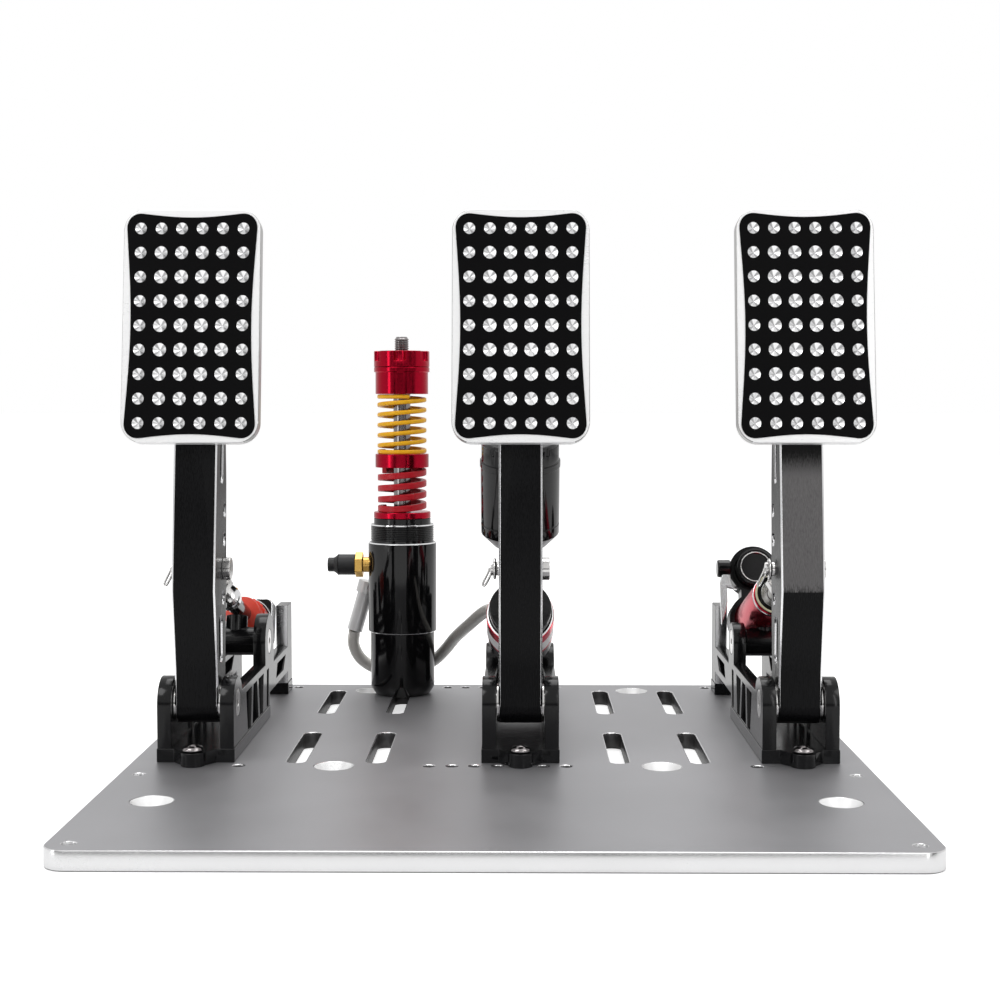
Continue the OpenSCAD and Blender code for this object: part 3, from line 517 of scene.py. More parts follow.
def sheet(name, outlines, place, thickness, mats, ease=0.0):
    """A flat sheet in the local XY plane, filled between its outlines."""
    curve = bpy.data.curves.new(name, "CURVE")
    curve.dimensions = "2D"
    curve.fill_mode = "BOTH"
    curve.extrude = (thickness / 2 - ease) * MM
    curve.bevel_depth = ease * MM
    curve.bevel_resolution = 1
    curve.offset = -ease * MM
    for outline in outlines:
        spline = curve.splines.new("POLY")
        spline.points.add(len(outline) - 1)
        spline.use_cyclic_u = True
        for point, (x, y) in zip(spline.points, outline):
            point.co = (x * MM, y * MM, 0, 1)
    helper = bpy.data.objects.new(name + "_outline", curve)
    bpy.context.scene.collection.objects.link(helper)
    mesh = bpy.data.meshes.new_from_object(helper.evaluated_get(bpy.context.evaluated_depsgraph_get()))
    bpy.data.objects.remove(helper)
    bpy.data.curves.remove(curve)
    mesh.transform(place)
    mesh.materials.clear()
    piece = make_object(name, mesh, mats)
    shade(mesh, 30)
    return piece


def bake(piece):
    """The piece's mesh with its modifiers worked in."""
    graph = bpy.context.evaluated_depsgraph_get()
    mesh = bpy.data.meshes.new_from_object(piece.evaluated_get(graph))
    piece.modifiers.clear()
    piece.data = mesh
    return mesh


def join(pieces):
    """One object from several; the first keeps its name."""
    first = pieces[0]
    work = bmesh.new()
    slots = []
    for piece in pieces:
        offset = []
        for mat in piece.data.materials:
            if mat not in slots:
                slots.append(mat)
            offset.append(slots.index(mat))
        start = len(work.faces)
        work.from_mesh(piece.data)
        work.faces.ensure_lookup_table()
        for face in work.faces[start:]:
            face.material_index = offset[face.material_index]
    mesh = bpy.data.meshes.new(first.name)
    work.to_mesh(mesh)
    work.free()
    for mat in slots:
        mesh.materials.append(mat)
    first.data = mesh
    for piece in pieces[1:]:
        bpy.data.objects.remove(piece)
    return first


# Pads: a bare rim, a waisted black face and rows of bright cups
PAD_W, PAD_H, PAD_T, PAD_R = 78.5, 132.0, 9.0, 12.0
PAD_FOOT = (-28.1, 193.0)
PAD_EASE = 0.8
PAD_SHIFT = {"clutch": -1.9, "brake": 0.0, "throttle": 1.9}
PAD_STRETCH = 1.02
FACE_W, FACE_H, FACE_R = 75.5, 128.6, 9.5
FACE_WAIST_X, FACE_WAIST_Z = 3.3, 3.1
FACE_WAIST_POWER = 1.3
FACE_STEP = 4.0
FACE_PROUD, FACE_SUNK, FACE_EASE = 0.5, 0.05, 0.08
RIM_SUNK = 0.01
SIDEWAYS, STRAIGHT = 0.3, 0.9999
CUP_COLS, CUP_ROWS = 6, 9
CUP_PITCH = (11.75, 13.75)
CUP_R = (3.3, 3.8)
CUP_DEPTH, CUP_LIP, CUP_TIP_R = 2.3, 0.15, 0.02
CUP_SEAT = 0.6
CUP_STEPS = 40


def pad_place(pedal, out=0.0):
    """The pad's own frame: local X right, local Y up the pad, local Z towards the foot."""
    foot = Matrix.Translation(Vector((PEDAL_X[pedal], PAD_FOOT[0], PAD_FOOT[1])) * MM)
    lean = Matrix.Rotation(-PAD_LEAN, 4, "X") @ Matrix.Rotation(math.pi / 2, 4, "X")
    return foot @ lean @ Matrix.Translation(Vector((0, PAD_H / 2, out)) * MM)


def waisted_outline():
    """The tread's outline: a rounded rectangle, drawn in along the middle of each side."""
    points = []
    half_w, half_h = FACE_W / 2, FACE_H / 2
    for x, y in split_long(rounded_outline(FACE_W, FACE_H, FACE_R), FACE_STEP):
        across = math.cos(math.pi / 2 * y / half_h) ** FACE_WAIST_POWER if abs(y) < half_h else 0.0
        along = math.cos(math.pi / 2 * x / half_w) ** FACE_WAIST_POWER if abs(x) < half_w else 0.0
        points.append((x * (1 - FACE_WAIST_X / half_w * across), y * (1 - FACE_WAIST_Z / half_h * along)))
    return points


def cup_spots():
    """Centre and radius of each cup: the middle ones are cut a little wider."""
    for row in range(CUP_ROWS):
        for col in range(CUP_COLS):
            u = (col - (CUP_COLS - 1) / 2) / ((CUP_COLS - 1) / 2)
            v = (row - (CUP_ROWS - 1) / 2) / ((CUP_ROWS - 1) / 2)
            middle = max(0.0, 1 - u ** 4) * max(0.0, 1 - v ** 4)
            yield (u * CUP_PITCH[0] * (CUP_COLS - 1) / 2, v * CUP_PITCH[1] * (CUP_ROWS - 1) / 2,
                   CUP_R[0] + (CUP_R[1] - CUP_R[0]) * middle)


def pad_slot(face):
    """Painted shade: the darker wall material on the left and right sides, the bright rim elsewhere."""
    return 1 if abs(face.normal.x) > SIDEWAYS else 0


def build_pad(pedal):
    node = pedal + "_pad"
    pad = dress(node, ["pad_rim", "pad_wall_painted_shade"], PAD_EASE, 3, pad_slot)
    mesh = bake(pad)
    front = pad_place(pedal).to_3x3() @ Vector((0, 0, 1))
    work = bmesh.new()
    work.from_mesh(mesh)
    work.normal_update()
    faces = [f for f in work.faces if f.normal.dot(front) > STRAIGHT]
    bmesh.ops.delete(work, geom=faces, context="FACES_ONLY")
    work.to_mesh(mesh)
    work.free()
    rim = rounded_outline(PAD_W - 2 * PAD_EASE, PAD_H - 2 * PAD_EASE, PAD_R - PAD_EASE)
    face = waisted_outline()
    ring = sheet(node + "_rim", [rim, face], pad_place(pedal, PAD_T - RIM_SUNK), 0.0, ["pad_rim"])
    tread_holes = [circle(x, y, r, CUP_STEPS) for x, y, r in cup_spots()]
    tread = sheet(node + "_face", [face] + tread_holes, pad_place(pedal, PAD_T + FACE_PROUD / 2 - FACE_SUNK),
                  FACE_PROUD, ["tread"], FACE_EASE)
    top = PAD_T + FACE_PROUD * CUP_SEAT
    cups = []
    for k, (x, y, r) in enumerate(cup_spots()):
        place = pad_place(pedal, top) @ Matrix.Translation(Vector((x, y, 0)) * MM)
        profile = [(r + CUP_LIP, 0, 0), (CUP_TIP_R, -CUP_DEPTH, 0)]
        cups.append(lathe(node + "_cup_%d" % k, profile, place, ["cup"], CUP_STEPS, 0))
    cup = join(cups)
    cup.name = node + "_cups"
    for piece in (ring, cup):
        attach(piece, pedal + "_pedal")
    mount_piece(tread, node + "_tread")
    middle = Matrix.Translation(pad_place(pedal).translation)
    stretch = middle @ Matrix.Diagonal((1, 1, PAD_STRETCH, 1)) @ middle.inverted()
    moved = Matrix.Translation((PAD_SHIFT[pedal] * MM, 0, 0)) @ stretch
    for piece in (pad, ring, cup, tread):
        world = piece.matrix_world
        piece.data.transform(world.inverted() @ moved @ world)


# Pedal arms: brushed black with polished front corners
ARM_CHAMFER, ARM_EASE = 1.05, 0.25


def weigh_edges(node, pick):
    """A copy of a solid's mesh, with a bevel weight on each edge that pick chooses."""
    mesh, work = clean_copy(node)
    weight = work.edges.layers.float.new("bevel_weight_edge")
    for edge in work.edges:
        if len(edge.link_faces) == 2 and edge.calc_face_angle(0) > math.radians(30):
            edge[weight] = pick(edge)
    for face in work.faces:
        face.material_index = 0
    work.to_mesh(mesh)
    work.free()
    return mesh


def front_corner(edge):
    """1 where a face towards the foot meets a side face."""
    normals = [f.normal for f in edge.link_faces]
    sides = [n for n in normals if abs(n.x) > 0.9]
    fronts = [n for n in normals if n.y < -0.3 and abs(n.x) < 0.5]
    return 1.0 if sides and fronts else 0.0


def build_arm(pedal):
    node = pedal + "_arm"
    mesh = weigh_edges(node, front_corner)
    arm = make_object("dressed_" + node, mesh, ["arm", "polish", "arm_painted_highlight"])
    # The throttle arm's front faces that tilt up get the painted highlight
    for face in mesh.polygons:
        if pedal == "throttle" and face.normal.y < -0.9 and face.normal.z > 0.05:
            face.material_index = 2
    shade(mesh)
    cut = add_bevel(arm, ARM_CHAMFER, 1, 1)
    cut.limit_method = "WEIGHT"
    add_bevel(arm, ARM_EASE, 2)
    mount_piece(arm, node)


# Base plate: grey top, bright walls, painted shade in the slots, and countersinks with painted light in their
# bores
PLATE_W, PLATE_L, PLATE_T, PLATE_R = 420.0, 440.0, 10.0, 12.0
PLATE_EASE = 0.55
PLATE_RIM = (20.0, 5.0)
SLOT_X, SLOT_Y, SLOT_SIZE = (70.0, 116.0), (5.0, 152.0), (11.0, 86.0)
BIG_HOLES = ((93.0, -45.4), (93.0, 195.5), (178.0, -127.0))
SINK_R, BORE_R, FIX_R = 11.0, 6.5, 3.3
EDGE_HOLES = ((198.5, -207.5), (198.5, -67.0), (147.0, -45.0), (147.0, 208.5))
BOLT_Y = (-45.0, 208.5)
ROW_PITCH = 13.0


def plate_slot(face):
    """Grey top, bright outer walls, and painted shade: dark slot walls, and a dark underside that paints the
    contact shadow line under the edges.
    """
    x, y = abs(face.center.x) / MM, abs(face.center.y) / MM
    if face.normal.z > 0.99:
        return 0
    inside = x < PLATE_W / 2 - PLATE_RIM[0] and y < PLATE_L / 2 - PLATE_RIM[1]
    return 2 if (inside and abs(face.normal.z) < 0.3) or face.normal.z < -0.3 else 1


def build_plate():
    outlines = [rounded_outline(PLATE_W, PLATE_L, PLATE_R)]
    sinks = []
    for side in (-1, 1):
        for x in SLOT_X:
            for y in SLOT_Y:
                slot = rounded_outline(SLOT_SIZE[0], SLOT_SIZE[1], SLOT_SIZE[0] / 2 - 0.001)
                outlines.append([(side * x + u, y + v) for u, v in slot])
        outlines += [circle(side * x, y, FIX_R) for x, y in EDGE_HOLES]
        outlines += [circle(side * PEDAL_X["throttle"], y, FIX_R) for y in BOLT_Y]
        for x, y in BIG_HOLES:
            outlines.append(circle(side * x, y, SINK_R, 48))
            # The near-white rim finish: bare machined aluminium on the countersink cones, and painted light
            # on the bore walls deep in the hole, where shade falls
            place = Matrix.Translation(Vector((side * x, y, 0)) * MM)
            profile = [(BORE_R, 0.02, 0), (BORE_R, PLATE_T - SINK_R + BORE_R, 0),
                       (SINK_R + 0.1, PLATE_T - 0.1, 0)]
            sinks.append(lathe("countersink_%d" % len(sinks), profile, place, ["pad_rim"], 48, 0))
    outlines += [circle(k * ROW_PITCH, y, FIX_R) for k in range(-3, 4) for y in BOLT_Y]
    middle = Matrix.Translation((0, 0, PLATE_T / 2 * MM))
    plate = sheet("slotted_plate", outlines, middle, PLATE_T, ["plate", "bright", "slot_painted_shade"], PLATE_EASE)
    for face in plate.data.polygons:
        face.material_index = plate_slot(face)
    plate = join([plate] + sinks)
    mount_piece(plate, "base_plate")


# Spring tower
THREAD_PITCH, STUD_PITCH = 1.25, 1.5
THREAD_CREST = (0.35, 0.6)


def thread_profile(radius, low, high, pitch, depth, slot):
    """Ridges of a fine thread between two heights, as turned rings."""
    points = []
    count = round((high - low) / pitch)
    step = (high - low) / count
    for k in range(count):
        points.append((radius - depth, low + k * step, slot))
        points += [(radius, low + (k + crest) * step, slot) for crest in THREAD_CREST]
    return points + [(radius - depth, high, slot)]


def turn_tower(name, node, profile, mats, segments=96, bevel=0.3):
    """A piece turned about the tower's axis, which stands for a node."""
    place = Matrix.Translation(Vector((TOWER[0], TOWER[1], 0)) * MM)
    mount_piece(lathe(name, profile, place, mats, segments, bevel), node)


def build_tower():
    """Turned body with its threaded neck, red rings and the threaded rod."""
    profile = [(0, 10.02, 0), (19, 10.02, 0), (22.2, 15, 0), (22.5, 17.5, 0), (22.5, 54.5, 0), (0, 54.5, 0)]
    turn_tower("tower_lower", "tower_lower_body", profile, ["gloss_black"])
    profile = [(0, 54.5, 0), (23.2, 54.5, 1), (23.9, 55.1, 0), (24, 55.6, 0), (24, 117.2, 1), (23.3, 118, 0),
               (22.0, 118, 0), (22.0, 119.6, 0)]
    profile += thread_profile(22.25, 119.6, 129.6, THREAD_PITCH, 0.45, 0)
    profile += [(22.25, 129.8, 1), (22.0, 130.7, 0), (20, 130.7, 0), (20, 134.7, 0), (0, 134.7, 0)]
    turn_tower("tower_upper", "tower_upper_body", profile, ["gloss_black", "polish"], bevel=0.12)
    profile = [(6.5, 134.7, 0), (19.6, 134.7, 0), (20, 135.2, 0), (20, 138.8, 0), (19.6, 139.3, 0),
               (6.5, 139.3, 0)]
    turn_tower("tower_ring", "tower_seat_ring", profile, ["red"])
    profile = [(6.5, 170.5, 0), (18.75, 170.5, 0), (18.75, 180, 0), (6.5, 180, 0)]
    turn_tower("tower_collar_ring", "tower_mid_collar", profile, ["red"], bevel=0.4)
    profile = [(6.5, 222, 0), (18.5, 222, 0), (18.5, 237.2, 0), (19.5, 237.4, 0), (19.5, 240.6, 0),
               (18.8, 241, 0), (6.5, 241, 0)]
    turn_tower("tower_sleeve", "tower_top_sleeve", profile, ["red"], bevel=0.35)
    profile = [(0, 90, 0), (6, 90, 0), (6, 240, 0), (4.4, 240.5, 0)]
    profile += thread_profile(5.0, 241, 261, STUD_PITCH, 0.7, 0) + [(3.8, 262, 0), (0, 262, 0)]
    turn_tower("tower_rod_turned", "tower_rod", profile, ["dark_steel"], 64, 0)


# Springs: flat wire wound on a helix, with closed ends
COIL_STEPS = 48
COIL_START_DEG = 150
RED_WIRE, YELLOW_WIRE = (3.8, 4.4, 0.7), (3.6, 3.0, 1.0)
RED_COIL = {"radius": 15.3, "low": 139.4, "high": 170.2, "turns": 4.0, "wire": RED_WIRE[1], "flat": 0.3}
YELLOW_COIL = {"radius": 15.5, "low": 180.1, "high": 221.7, "turns": 6.4, "wire": YELLOW_WIRE[1],
               "flat": 0.5}


def coil_path(radius, low, high, turns, wire, flat):
    """Helix between two heights, whose first and last turns lie flat over a part of a turn."""
    path = []
    bottom, top = low + wire / 2, high - wire / 2
    for k in range(int(turns * COIL_STEPS) + 1):
        turn = k / COIL_STEPS
        rise = min(max((turn - flat) / (turns - 2 * flat), 0.0), 1.0)
        a = math.radians(COIL_START_DEG) + 2 * math.pi * turn
        path.append(Vector((TOWER[0] + radius * math.cos(a), TOWER[1] + radius * math.sin(a),
                            bottom + (top - bottom) * rise)) * MM)
    return path


def wire_section(width, height, corner, steps=4):
    return [(x * MM, y * MM) for x, y in rounded_outline(width, height, corner, steps)]


def build_springs():
    red = sweep("red_coil", coil_path(**RED_COIL), wire_section(*RED_WIRE), ["spring_red"], True)
    mount_piece(red, "lower_spring")
    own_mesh(red)
    yellow = sweep("yellow_coil", coil_path(**YELLOW_COIL), wire_section(*YELLOW_WIRE),
                   ["spring_yellow"], True)
    mount_piece(yellow, "upper_spring")
    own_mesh(yellow)


# Side plates, drawn again as eased sheets: y away from the driver, z up
PIVOT = (-22.0, 42.0)
EAR_R = 15.5
HUB_R = {"clutch": 18.0, "brake": 18.0, "throttle": 12.5}
RAIL_TOP, REAR_RAIL_TOP, ARCH_TOP, RAIL_LOW = 47.0, 44.0, 26.0, 18.0
REAR_LEG = (180.0, 202.0, 73.0)
REAR_LEG_Y_M = 0.176
FOOT_END_Y = 98.0
SIDE_GAP, SIDE_T = 28.0, 8.0
HEAD_R = 8.05
SIDE_EASE = 0.45


def arc(centre, radius, start_deg, end_deg, steps=20):
    """Points on a circle from one angle to another, in degrees."""
    angles = [math.radians(start_deg + (end_deg - start_deg) * k / steps) for k in range(steps + 1)]
    return [(centre[0] + radius * math.cos(a), centre[1] + radius * math.sin(a)) for a in angles]


def side_outline(pedal):
    """Outline of a side plate, clockwise from the front lower corner."""
    hub, hub_r = (HUB_Y, HUB_Z[pedal]), HUB_R[pedal]
    low_front = (PIVOT[0] - EAR_R, RAIL_LOW)
    ear_end = math.degrees(math.asin((RAIL_TOP - PIVOT[1]) / EAR_R))
    points = [low_front] + arc(PIVOT, EAR_R, 180, ear_end)
    front_dip = min(max((RAIL_TOP - hub[1]) / hub_r, 0.0), 1.0)
    rear_dip = min(max((REAR_RAIL_TOP - hub[1]) / hub_r, 0.0), 1.0)
    start = 180 - math.degrees(math.asin(front_dip))
    end = math.degrees(math.asin(rear_dip))
    if front_dip == 0:
        points.append((hub[0] - hub_r, RAIL_TOP))
    points += arc(hub, hub_r, start, end, 28)
    if rear_dip == 0:
        points.append((hub[0] + hub_r, REAR_RAIL_TOP))
    leg_front, leg_back, leg_top = REAR_LEG
    points += [(leg_front, REAR_RAIL_TOP), (leg_front, leg_top), (leg_back, leg_top),
               (leg_back, RAIL_LOW), (leg_front, RAIL_LOW), (leg_front, ARCH_TOP)]
    if hub[1] - hub_r < ARCH_TOP:
        under = math.degrees(math.asin((ARCH_TOP - hub[1]) / hub_r))
        points += arc(hub, hub_r, under, -90, 12)
    else:
        points.append((FOOT_END_Y, ARCH_TOP))
    return points + [(FOOT_END_Y, RAIL_LOW)]


WINDOW_LOW, WINDOW_HIGH = 19.0, 42.5
WINDOW_FIRST, WINDOW_PITCH = 16.5, 23.0
WINDOW_TOP_HALF, WINDOW_LOW_HALF = (10.0, 6.5), (5.5, 11.0)
HUB_WINDOW = (84.0, 91.0, 94.0, 86.0)
REAR_WINDOW = (126.0, 160.0, 170.0, 132.0)
REAR_WINDOW_LOW, REAR_WINDOW_HIGH = 31.0, 39.5


def side_holes(pedal):
    """Truss windows and the two seats of the screw heads."""
    holes = []
    for k in range(3):
        middle = WINDOW_FIRST + WINDOW_PITCH * k
        top, low = WINDOW_TOP_HALF[k % 2], WINDOW_LOW_HALF[k % 2]
        holes.append([(middle - low, WINDOW_LOW), (middle + low, WINDOW_LOW), (middle + top, WINDOW_HIGH),
                      (middle - top, WINDOW_HIGH)])
    rows = ((HUB_WINDOW, WINDOW_LOW, WINDOW_HIGH), (REAR_WINDOW, REAR_WINDOW_LOW, REAR_WINDOW_HIGH))
    for ys, low, high in rows:
        holes.append([(ys[0], low), (ys[1], low), (ys[2], high), (ys[3], high)])
    return holes + [circle(PIVOT[0], PIVOT[1], HEAD_R, 48), circle(HUB_Y, HUB_Z[pedal], HEAD_R, 48)]


def build_side_plates(pedal):
    """Both plates of a unit as one piece: black, with bare fronts on the rear uprights."""
    plates = []
    for side in (-1, 1):
        middle = PEDAL_X[pedal] + side * (SIDE_GAP + SIDE_T) / 2
        upright = Matrix(((0, 0, 1, middle * MM), (1, 0, 0, 0), (0, 1, 0, 0), (0, 0, 0, 1)))
        outlines = [side_outline(pedal)] + side_holes(pedal)
        name = "%s_side_%d" % (pedal, side)
        plates.append(sheet(name, outlines, upright, SIDE_T, ["black", "bright"], SIDE_EASE))
    piece = join(plates)
    piece.name = pedal + "_side_sheets"
    for face in piece.data.polygons:
        if face.normal.y < -0.9 and face.center.y > REAR_LEG_Y_M:
            face.material_index = 1
    mount_piece(piece, pedal + "_side_plates")


# Hairpin clips that hang from the left end of each clevis pin
CLIP_WIRE_D = 1.3
CLIP_PATH = ((0.8, 0, 1.2), (-0.8, -0.6, -1.4), (-2.8, -1.2, -5.6), (-4.8, -1.5, -9.2), (-5.8, -1.5, -9.8),
             (-6.4, -1.5, -8.8), (-4.8, -1.4, -5.2), (-3.0, -1.0, -1.6), (-2.4, -0.6, 0.6))
CLIP_REACH = 15.6


def build_clips():
    for pedal, x in PEDAL_X.items():
        start = Vector((x - CLIP_REACH, CLEVIS[0], CLEVIS[1]))
        path = smooth_path([start + Vector(step) for step in CLIP_PATH], 6)
        clip = sweep(pedal + "_clip", path, ring_section(CLIP_WIRE_D / 2 * MM), ["steel"])
        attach(clip, pedal + "_pedal")


def build_units():
    """Feet, side plates, pins and screws of the three pedal units."""
    for pedal in PEDAL_X:
        dress(pedal + "_feet", ["black"], 0.5, 2)
        build_side_plates(pedal)
        dress(pedal + "_pivot_pin", ["steel"], 0.2)
        dress(pedal + "_pivot_screws", ["steel"], 0.35)
        dress(pedal + "_arm_fittings", ["steel"], 0.2)
        dress(pedal + "_clevis_pin", ["steel"], 0.3)
        rod = dress(pedal + "_rod", ["steel"], 0.3)
        if pedal == "clutch":
            slim_piston(rod)
        build_arm(pedal)
        build_pad(pedal)
    dress("foot_screws", ["dark_steel"], 1.3, 4)
    build_clips()


# Struts: places along them are counted from the clevis pin
PISTON_START, SLEEVE_BORE_R = 94.0, 4.9


def slim_piston(rod):
    """Draws the inner end of the clutch rod in, so that it runs inside the slim sleeve."""
    axis = strut_place("clutch")
    to_strut = axis.inverted() @ rod.matrix_world
    from_strut = to_strut.inverted()
    for vertex in rod.data.vertices:
        local = to_strut @ vertex.co
        away = math.hypot(local.x, local.y)
        if local.z > PISTON_START * MM and away > SLEEVE_BORE_R * MM:
            keep = SLEEVE_BORE_R * MM / away
            vertex.co = from_strut @ Vector((local.x * keep, local.y * keep, local.z))


# Hubs: how far along the strut and how far below it they lie, and their barrel and neck
HUB_ALONG, HUB_BELOW = 122.8, 22.1
BARREL_R, BARREL_EDGE, BARREL_CLEAR, NECK_R = 9.2, 0.6, 0.3, 7.0
CARRY_R = {"clutch": 5.58, "throttle": 13.46}


def build_hub(pedal):
    """Barrel between the side plates with the neck that carries the strut."""
    carry_r = CARRY_R[pedal]
    centre = Vector((PEDAL_X[pedal], HUB_Y, HUB_Z[pedal]))
    start = Matrix.Translation((centre - Vector((SIDE_GAP / 2, 0, 0))) * MM)
    start = start @ Matrix.Rotation(math.pi / 2, 4, "Y")
    low, high, end_r = BARREL_CLEAR, SIDE_GAP - BARREL_CLEAR, BARREL_R - BARREL_EDGE
    profile = [(0, low, 0), (end_r, low, 0), (BARREL_R, 1.0, 0), (BARREL_R, SIDE_GAP - 1.0, 0),
               (end_r, high, 0), (0, high, 0)]
    barrel = lathe(pedal + "_barrel", profile, start, ["black"], 64, 0.2)
    neck_place = strut_place(pedal, HUB_ALONG) @ Matrix.Rotation(-math.pi / 2, 4, "X")
    profile = [(0, carry_r, 0), (NECK_R, carry_r, 0), (NECK_R, HUB_BELOW, 0), (0, HUB_BELOW, 0)]
    neck = lathe(pedal + "_neck", profile, neck_place, ["black"], 48, 0.2)
    mount_piece(join([barrel, neck]), pedal + "_cradle")


RIB_PITCH = 1.45


def build_clutch():
    """Silver rod end, slim black sleeve, red ribs, red wheel and the end block."""
    build_hub("clutch")
    body = [(0, 74, 1), (4.6, 74, 1), (5.0, 75, 1), (5.0, 82, 1), (7.6, 82.4, 1), (8.2, 83.4, 1),
            (8.2, 90, 1), (7.6, 91, 0), (5.6, 91.2, 0), (5.6, 143.8, 2), (11.4, 144, 2)]
    body += thread_profile(12.0, 145, 157, RIB_PITCH, 0.4, 2) + [(12, 157.2, 0), (12, 185, 0), (0, 185, 0)]
    tube = lathe("clutch_ribbed_body", body, strut_place("clutch"), ["gloss_black", "chrome", "wheel"], 80, 0)
    mount_piece(tube, "clutch_cylinder")
    dress("clutch_preload_wheel", ["wheel"], 0.25)
    dress("clutch_end_block", ["black", "polish"], 1.1, 3, None, 1)
    rim = lathe("clutch_block_rim", [(14.2, 170.2, 0), (14.6, 169.6, 0), (15.2, 169.6, 0), (15.6, 170.4, 0)],
                strut_place("clutch"), ["polish"], 64, 0)
    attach(rim, "clutch_strut")


# Light bracket beside the damper, as (right, up) places from the tube's axis
BRACKET = [(-16.2, 37.1), (-15.6, 25.2), (-14.4, 22.4), (-11.6, 20.6), (-14.8, 21.2), (-18.4, 22.4),
           (-18.4, 11.5), (-20.0, 4.0), (-22.8, -3.5), (-23.1, 25.2), (-21.9, 29.6)]
BRACKET_AT, BRACKET_T = 163.0, 5.0
KNOB_AT, KNOB_RISE, KNOB_LEFT = 164.0, 35.5, 24.5
DAMPER_RISE = 34.0


def build_throttle():
    """Red tube with its stack of rings, black damper and the bracket on its left."""
    build_hub("throttle")
    tube = [(5.8, 71.4, 4), (9.2, 71.4, 2), (9.4, 72.2, 2), (11.6, 72.2, 3), (11.8, 70.6, 3), (12.8, 70.4, 3),
            (13.0, 71.6, 2), (12.7, 71.9, 2), (12.7, 75.4, 0), (13.3, 75.6, 0), (13.3, 77.4, 2),
            (12.9, 77.6, 2), (12.9, 78.0, 1), (13.5, 78.2, 1), (13.5, 80.6, 0), (13.4, 80.8, 0),
            (13.5, 81.2, 0), (13.5, 166, 2), (14.3, 166.2, 2), (14.6, 167, 2), (14.6, 183.4, 2),
            (13.6, 184, 2), (0, 184, 2)]
    finishes = ["tube_red", "polish", "gloss_black", "cream", "steel"]
    piece = lathe("throttle_red_tube", tube, strut_place("throttle"), finishes, 96, 0.12)
    mount_piece(piece, "throttle_tube")
    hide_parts("throttle_tube_ring")
    damper = [(0, 151.2, 0), (9.3, 151.2, 0), (9.5, 150.4, 1), (9.8, 150.0, 1), (10.3, 150.0, 0),
              (10.5, 150.8, 0), (11.0, 150.8, 0), (11.2, 150.0, 0), (12.1, 150.0, 0), (12.5, 150.6, 0),
              (12.5, 189.5, 0), (0, 190, 0)]
    place = strut_place("throttle", 0, DAMPER_RISE)
    piece = lathe("throttle_damper_turned", damper, place, ["gloss_black", "steel"], 96, 0.1)
    mount_piece(piece, "throttle_damper")
    dress("throttle_damper_holder", ["black"], 0.6)
    flat = strut_place("throttle", BRACKET_AT) @ Matrix.Rotation(math.pi, 4, "X")
    bracket = sheet("damper_bracket", [BRACKET], flat, BRACKET_T, ["bright"], 0.3)
    place = strut_place("throttle", KNOB_AT, KNOB_RISE) @ Matrix.Translation((-KNOB_LEFT * MM, 0, 0))
    profile = [(0, 0, 0), (5.4, 0, 0), (6.0, 0.8, 0), (6.0, 8.5, 0), (4.0, 9.5, 0), (4, 12, 0)]
    sideways = Matrix.Rotation(math.pi / 2, 4, "Y")
    knob = lathe("damper_knob", profile, place @ sideways, ["gloss_black"], 40, 0.2)
    for extra, slot in ((bracket, "bare_aluminium"), (knob, "black_anodised")):
        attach(extra, "throttle_strut")


RESERVOIR_FOOT = (104.0, 124.0)
RESERVOIR_LEAN = math.radians(14)


def build_brake():
    """Master cylinder with its colour bands and the fluid reservoir."""
    dress("brake_master_cylinder", ["black"], 0.5)
    dress("brake_front_cap", ["gloss_black"], 0.6)
    bands = [(19.6, 55.6, 1), (20.4, 55.8, 1), (20.4, 56.6, 0), (20.8, 56.8, 0), (20.8, 64.4, 1),
             (20.8, 74.6, 0), (20.8, 76.6, 0), (20.0, 76.8, 0)]
    piece = lathe("brake_bands", bands, strut_place("brake"), ["tube_red", "pad_rim"], 96, 0)
    mount_piece(piece, "brake_red_bands")
    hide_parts("brake_silver_band")
    place = Matrix.Translation(Vector((PEDAL_X["brake"], RESERVOIR_FOOT[0], RESERVOIR_FOOT[1])) * MM)
    place = place @ Matrix.Rotation(RESERVOIR_LEAN, 4, "X")
    profile = [(0, -8, 1), (10, -8, 1), (10, -0.2, 1), (17.6, 0, 1), (24.9, 7.6, 1), (25.4, 8.2, 0),
               (25.5, 8.6, 0), (25.5, 14.6, 0), (25.1, 14.9, 0), (25.1, 15.4, 0), (25.5, 15.7, 0),
               (25.5, 53, 0), (0, 53, 0)]
    tank = lathe("reservoir_tank", profile, place, ["gloss_black", "frost"], 96, 0.12)
    mount_piece(tank, "fluid_reservoir")
    dress("reservoir_cap", ["gloss_black"], 0.35)


def build_fittings():
    dress("tower_nut", ["red"], 0.4)
    dress("bleed_screw", ["brass"], 0.5)
    dress("bleed_cap", ["rubber"], 0.5)
    return dress("hose_fitting", ["pad_rim"], 0.4)


# Hose: the solid's route, with its far part straightened as the photo shows it
HOSE_D = 8.5
HOSE_ROUTE = [(-106, 205, 52), (-107, 207, 42), (-103, 210, 32), (-95, 213, 25), (-84, 215, 21),
              (-71, 215, 21), (-58, 212, 25), (-48, 205, 31), (-40, 194, 40), (-33, 180, 50),
              (-27, 165, 57.5), (-21, 150, 64.5), (-15, 136, 71.5), (-10, 124, 76.5),
              (-6.5, 116, 78.5), (-5.3, 112, 78)]


def build_hose(fitting):
    path = smooth_path(HOSE_ROUTE, 8)
    hose = sweep("braided_hose", path, ring_section(HOSE_D / 2 * MM, 24), ["braid"])
    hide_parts("brake_hose")
    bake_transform(hose)


# Camera, light and floor
CAMERA_M = (0.01028, -0.94497, 0.21456)
CAMERA_PITCH = 0.0593
CAMERA_YAW = 0.0099
CAMERA_LENS = 57.81


def build_camera():
    data = bpy.data.cameras.new("camera")
    data.lens = CAMERA_LENS
    data.sensor_width = 36.0
    camera = bpy.data.objects.new("camera", data)
    bpy.context.scene.collection.objects.link(camera)
    camera.location = CAMERA_M
    camera.rotation_euler = (math.pi / 2 - CAMERA_PITCH, 0, CAMERA_YAW)
    bpy.context.scene.camera = camera


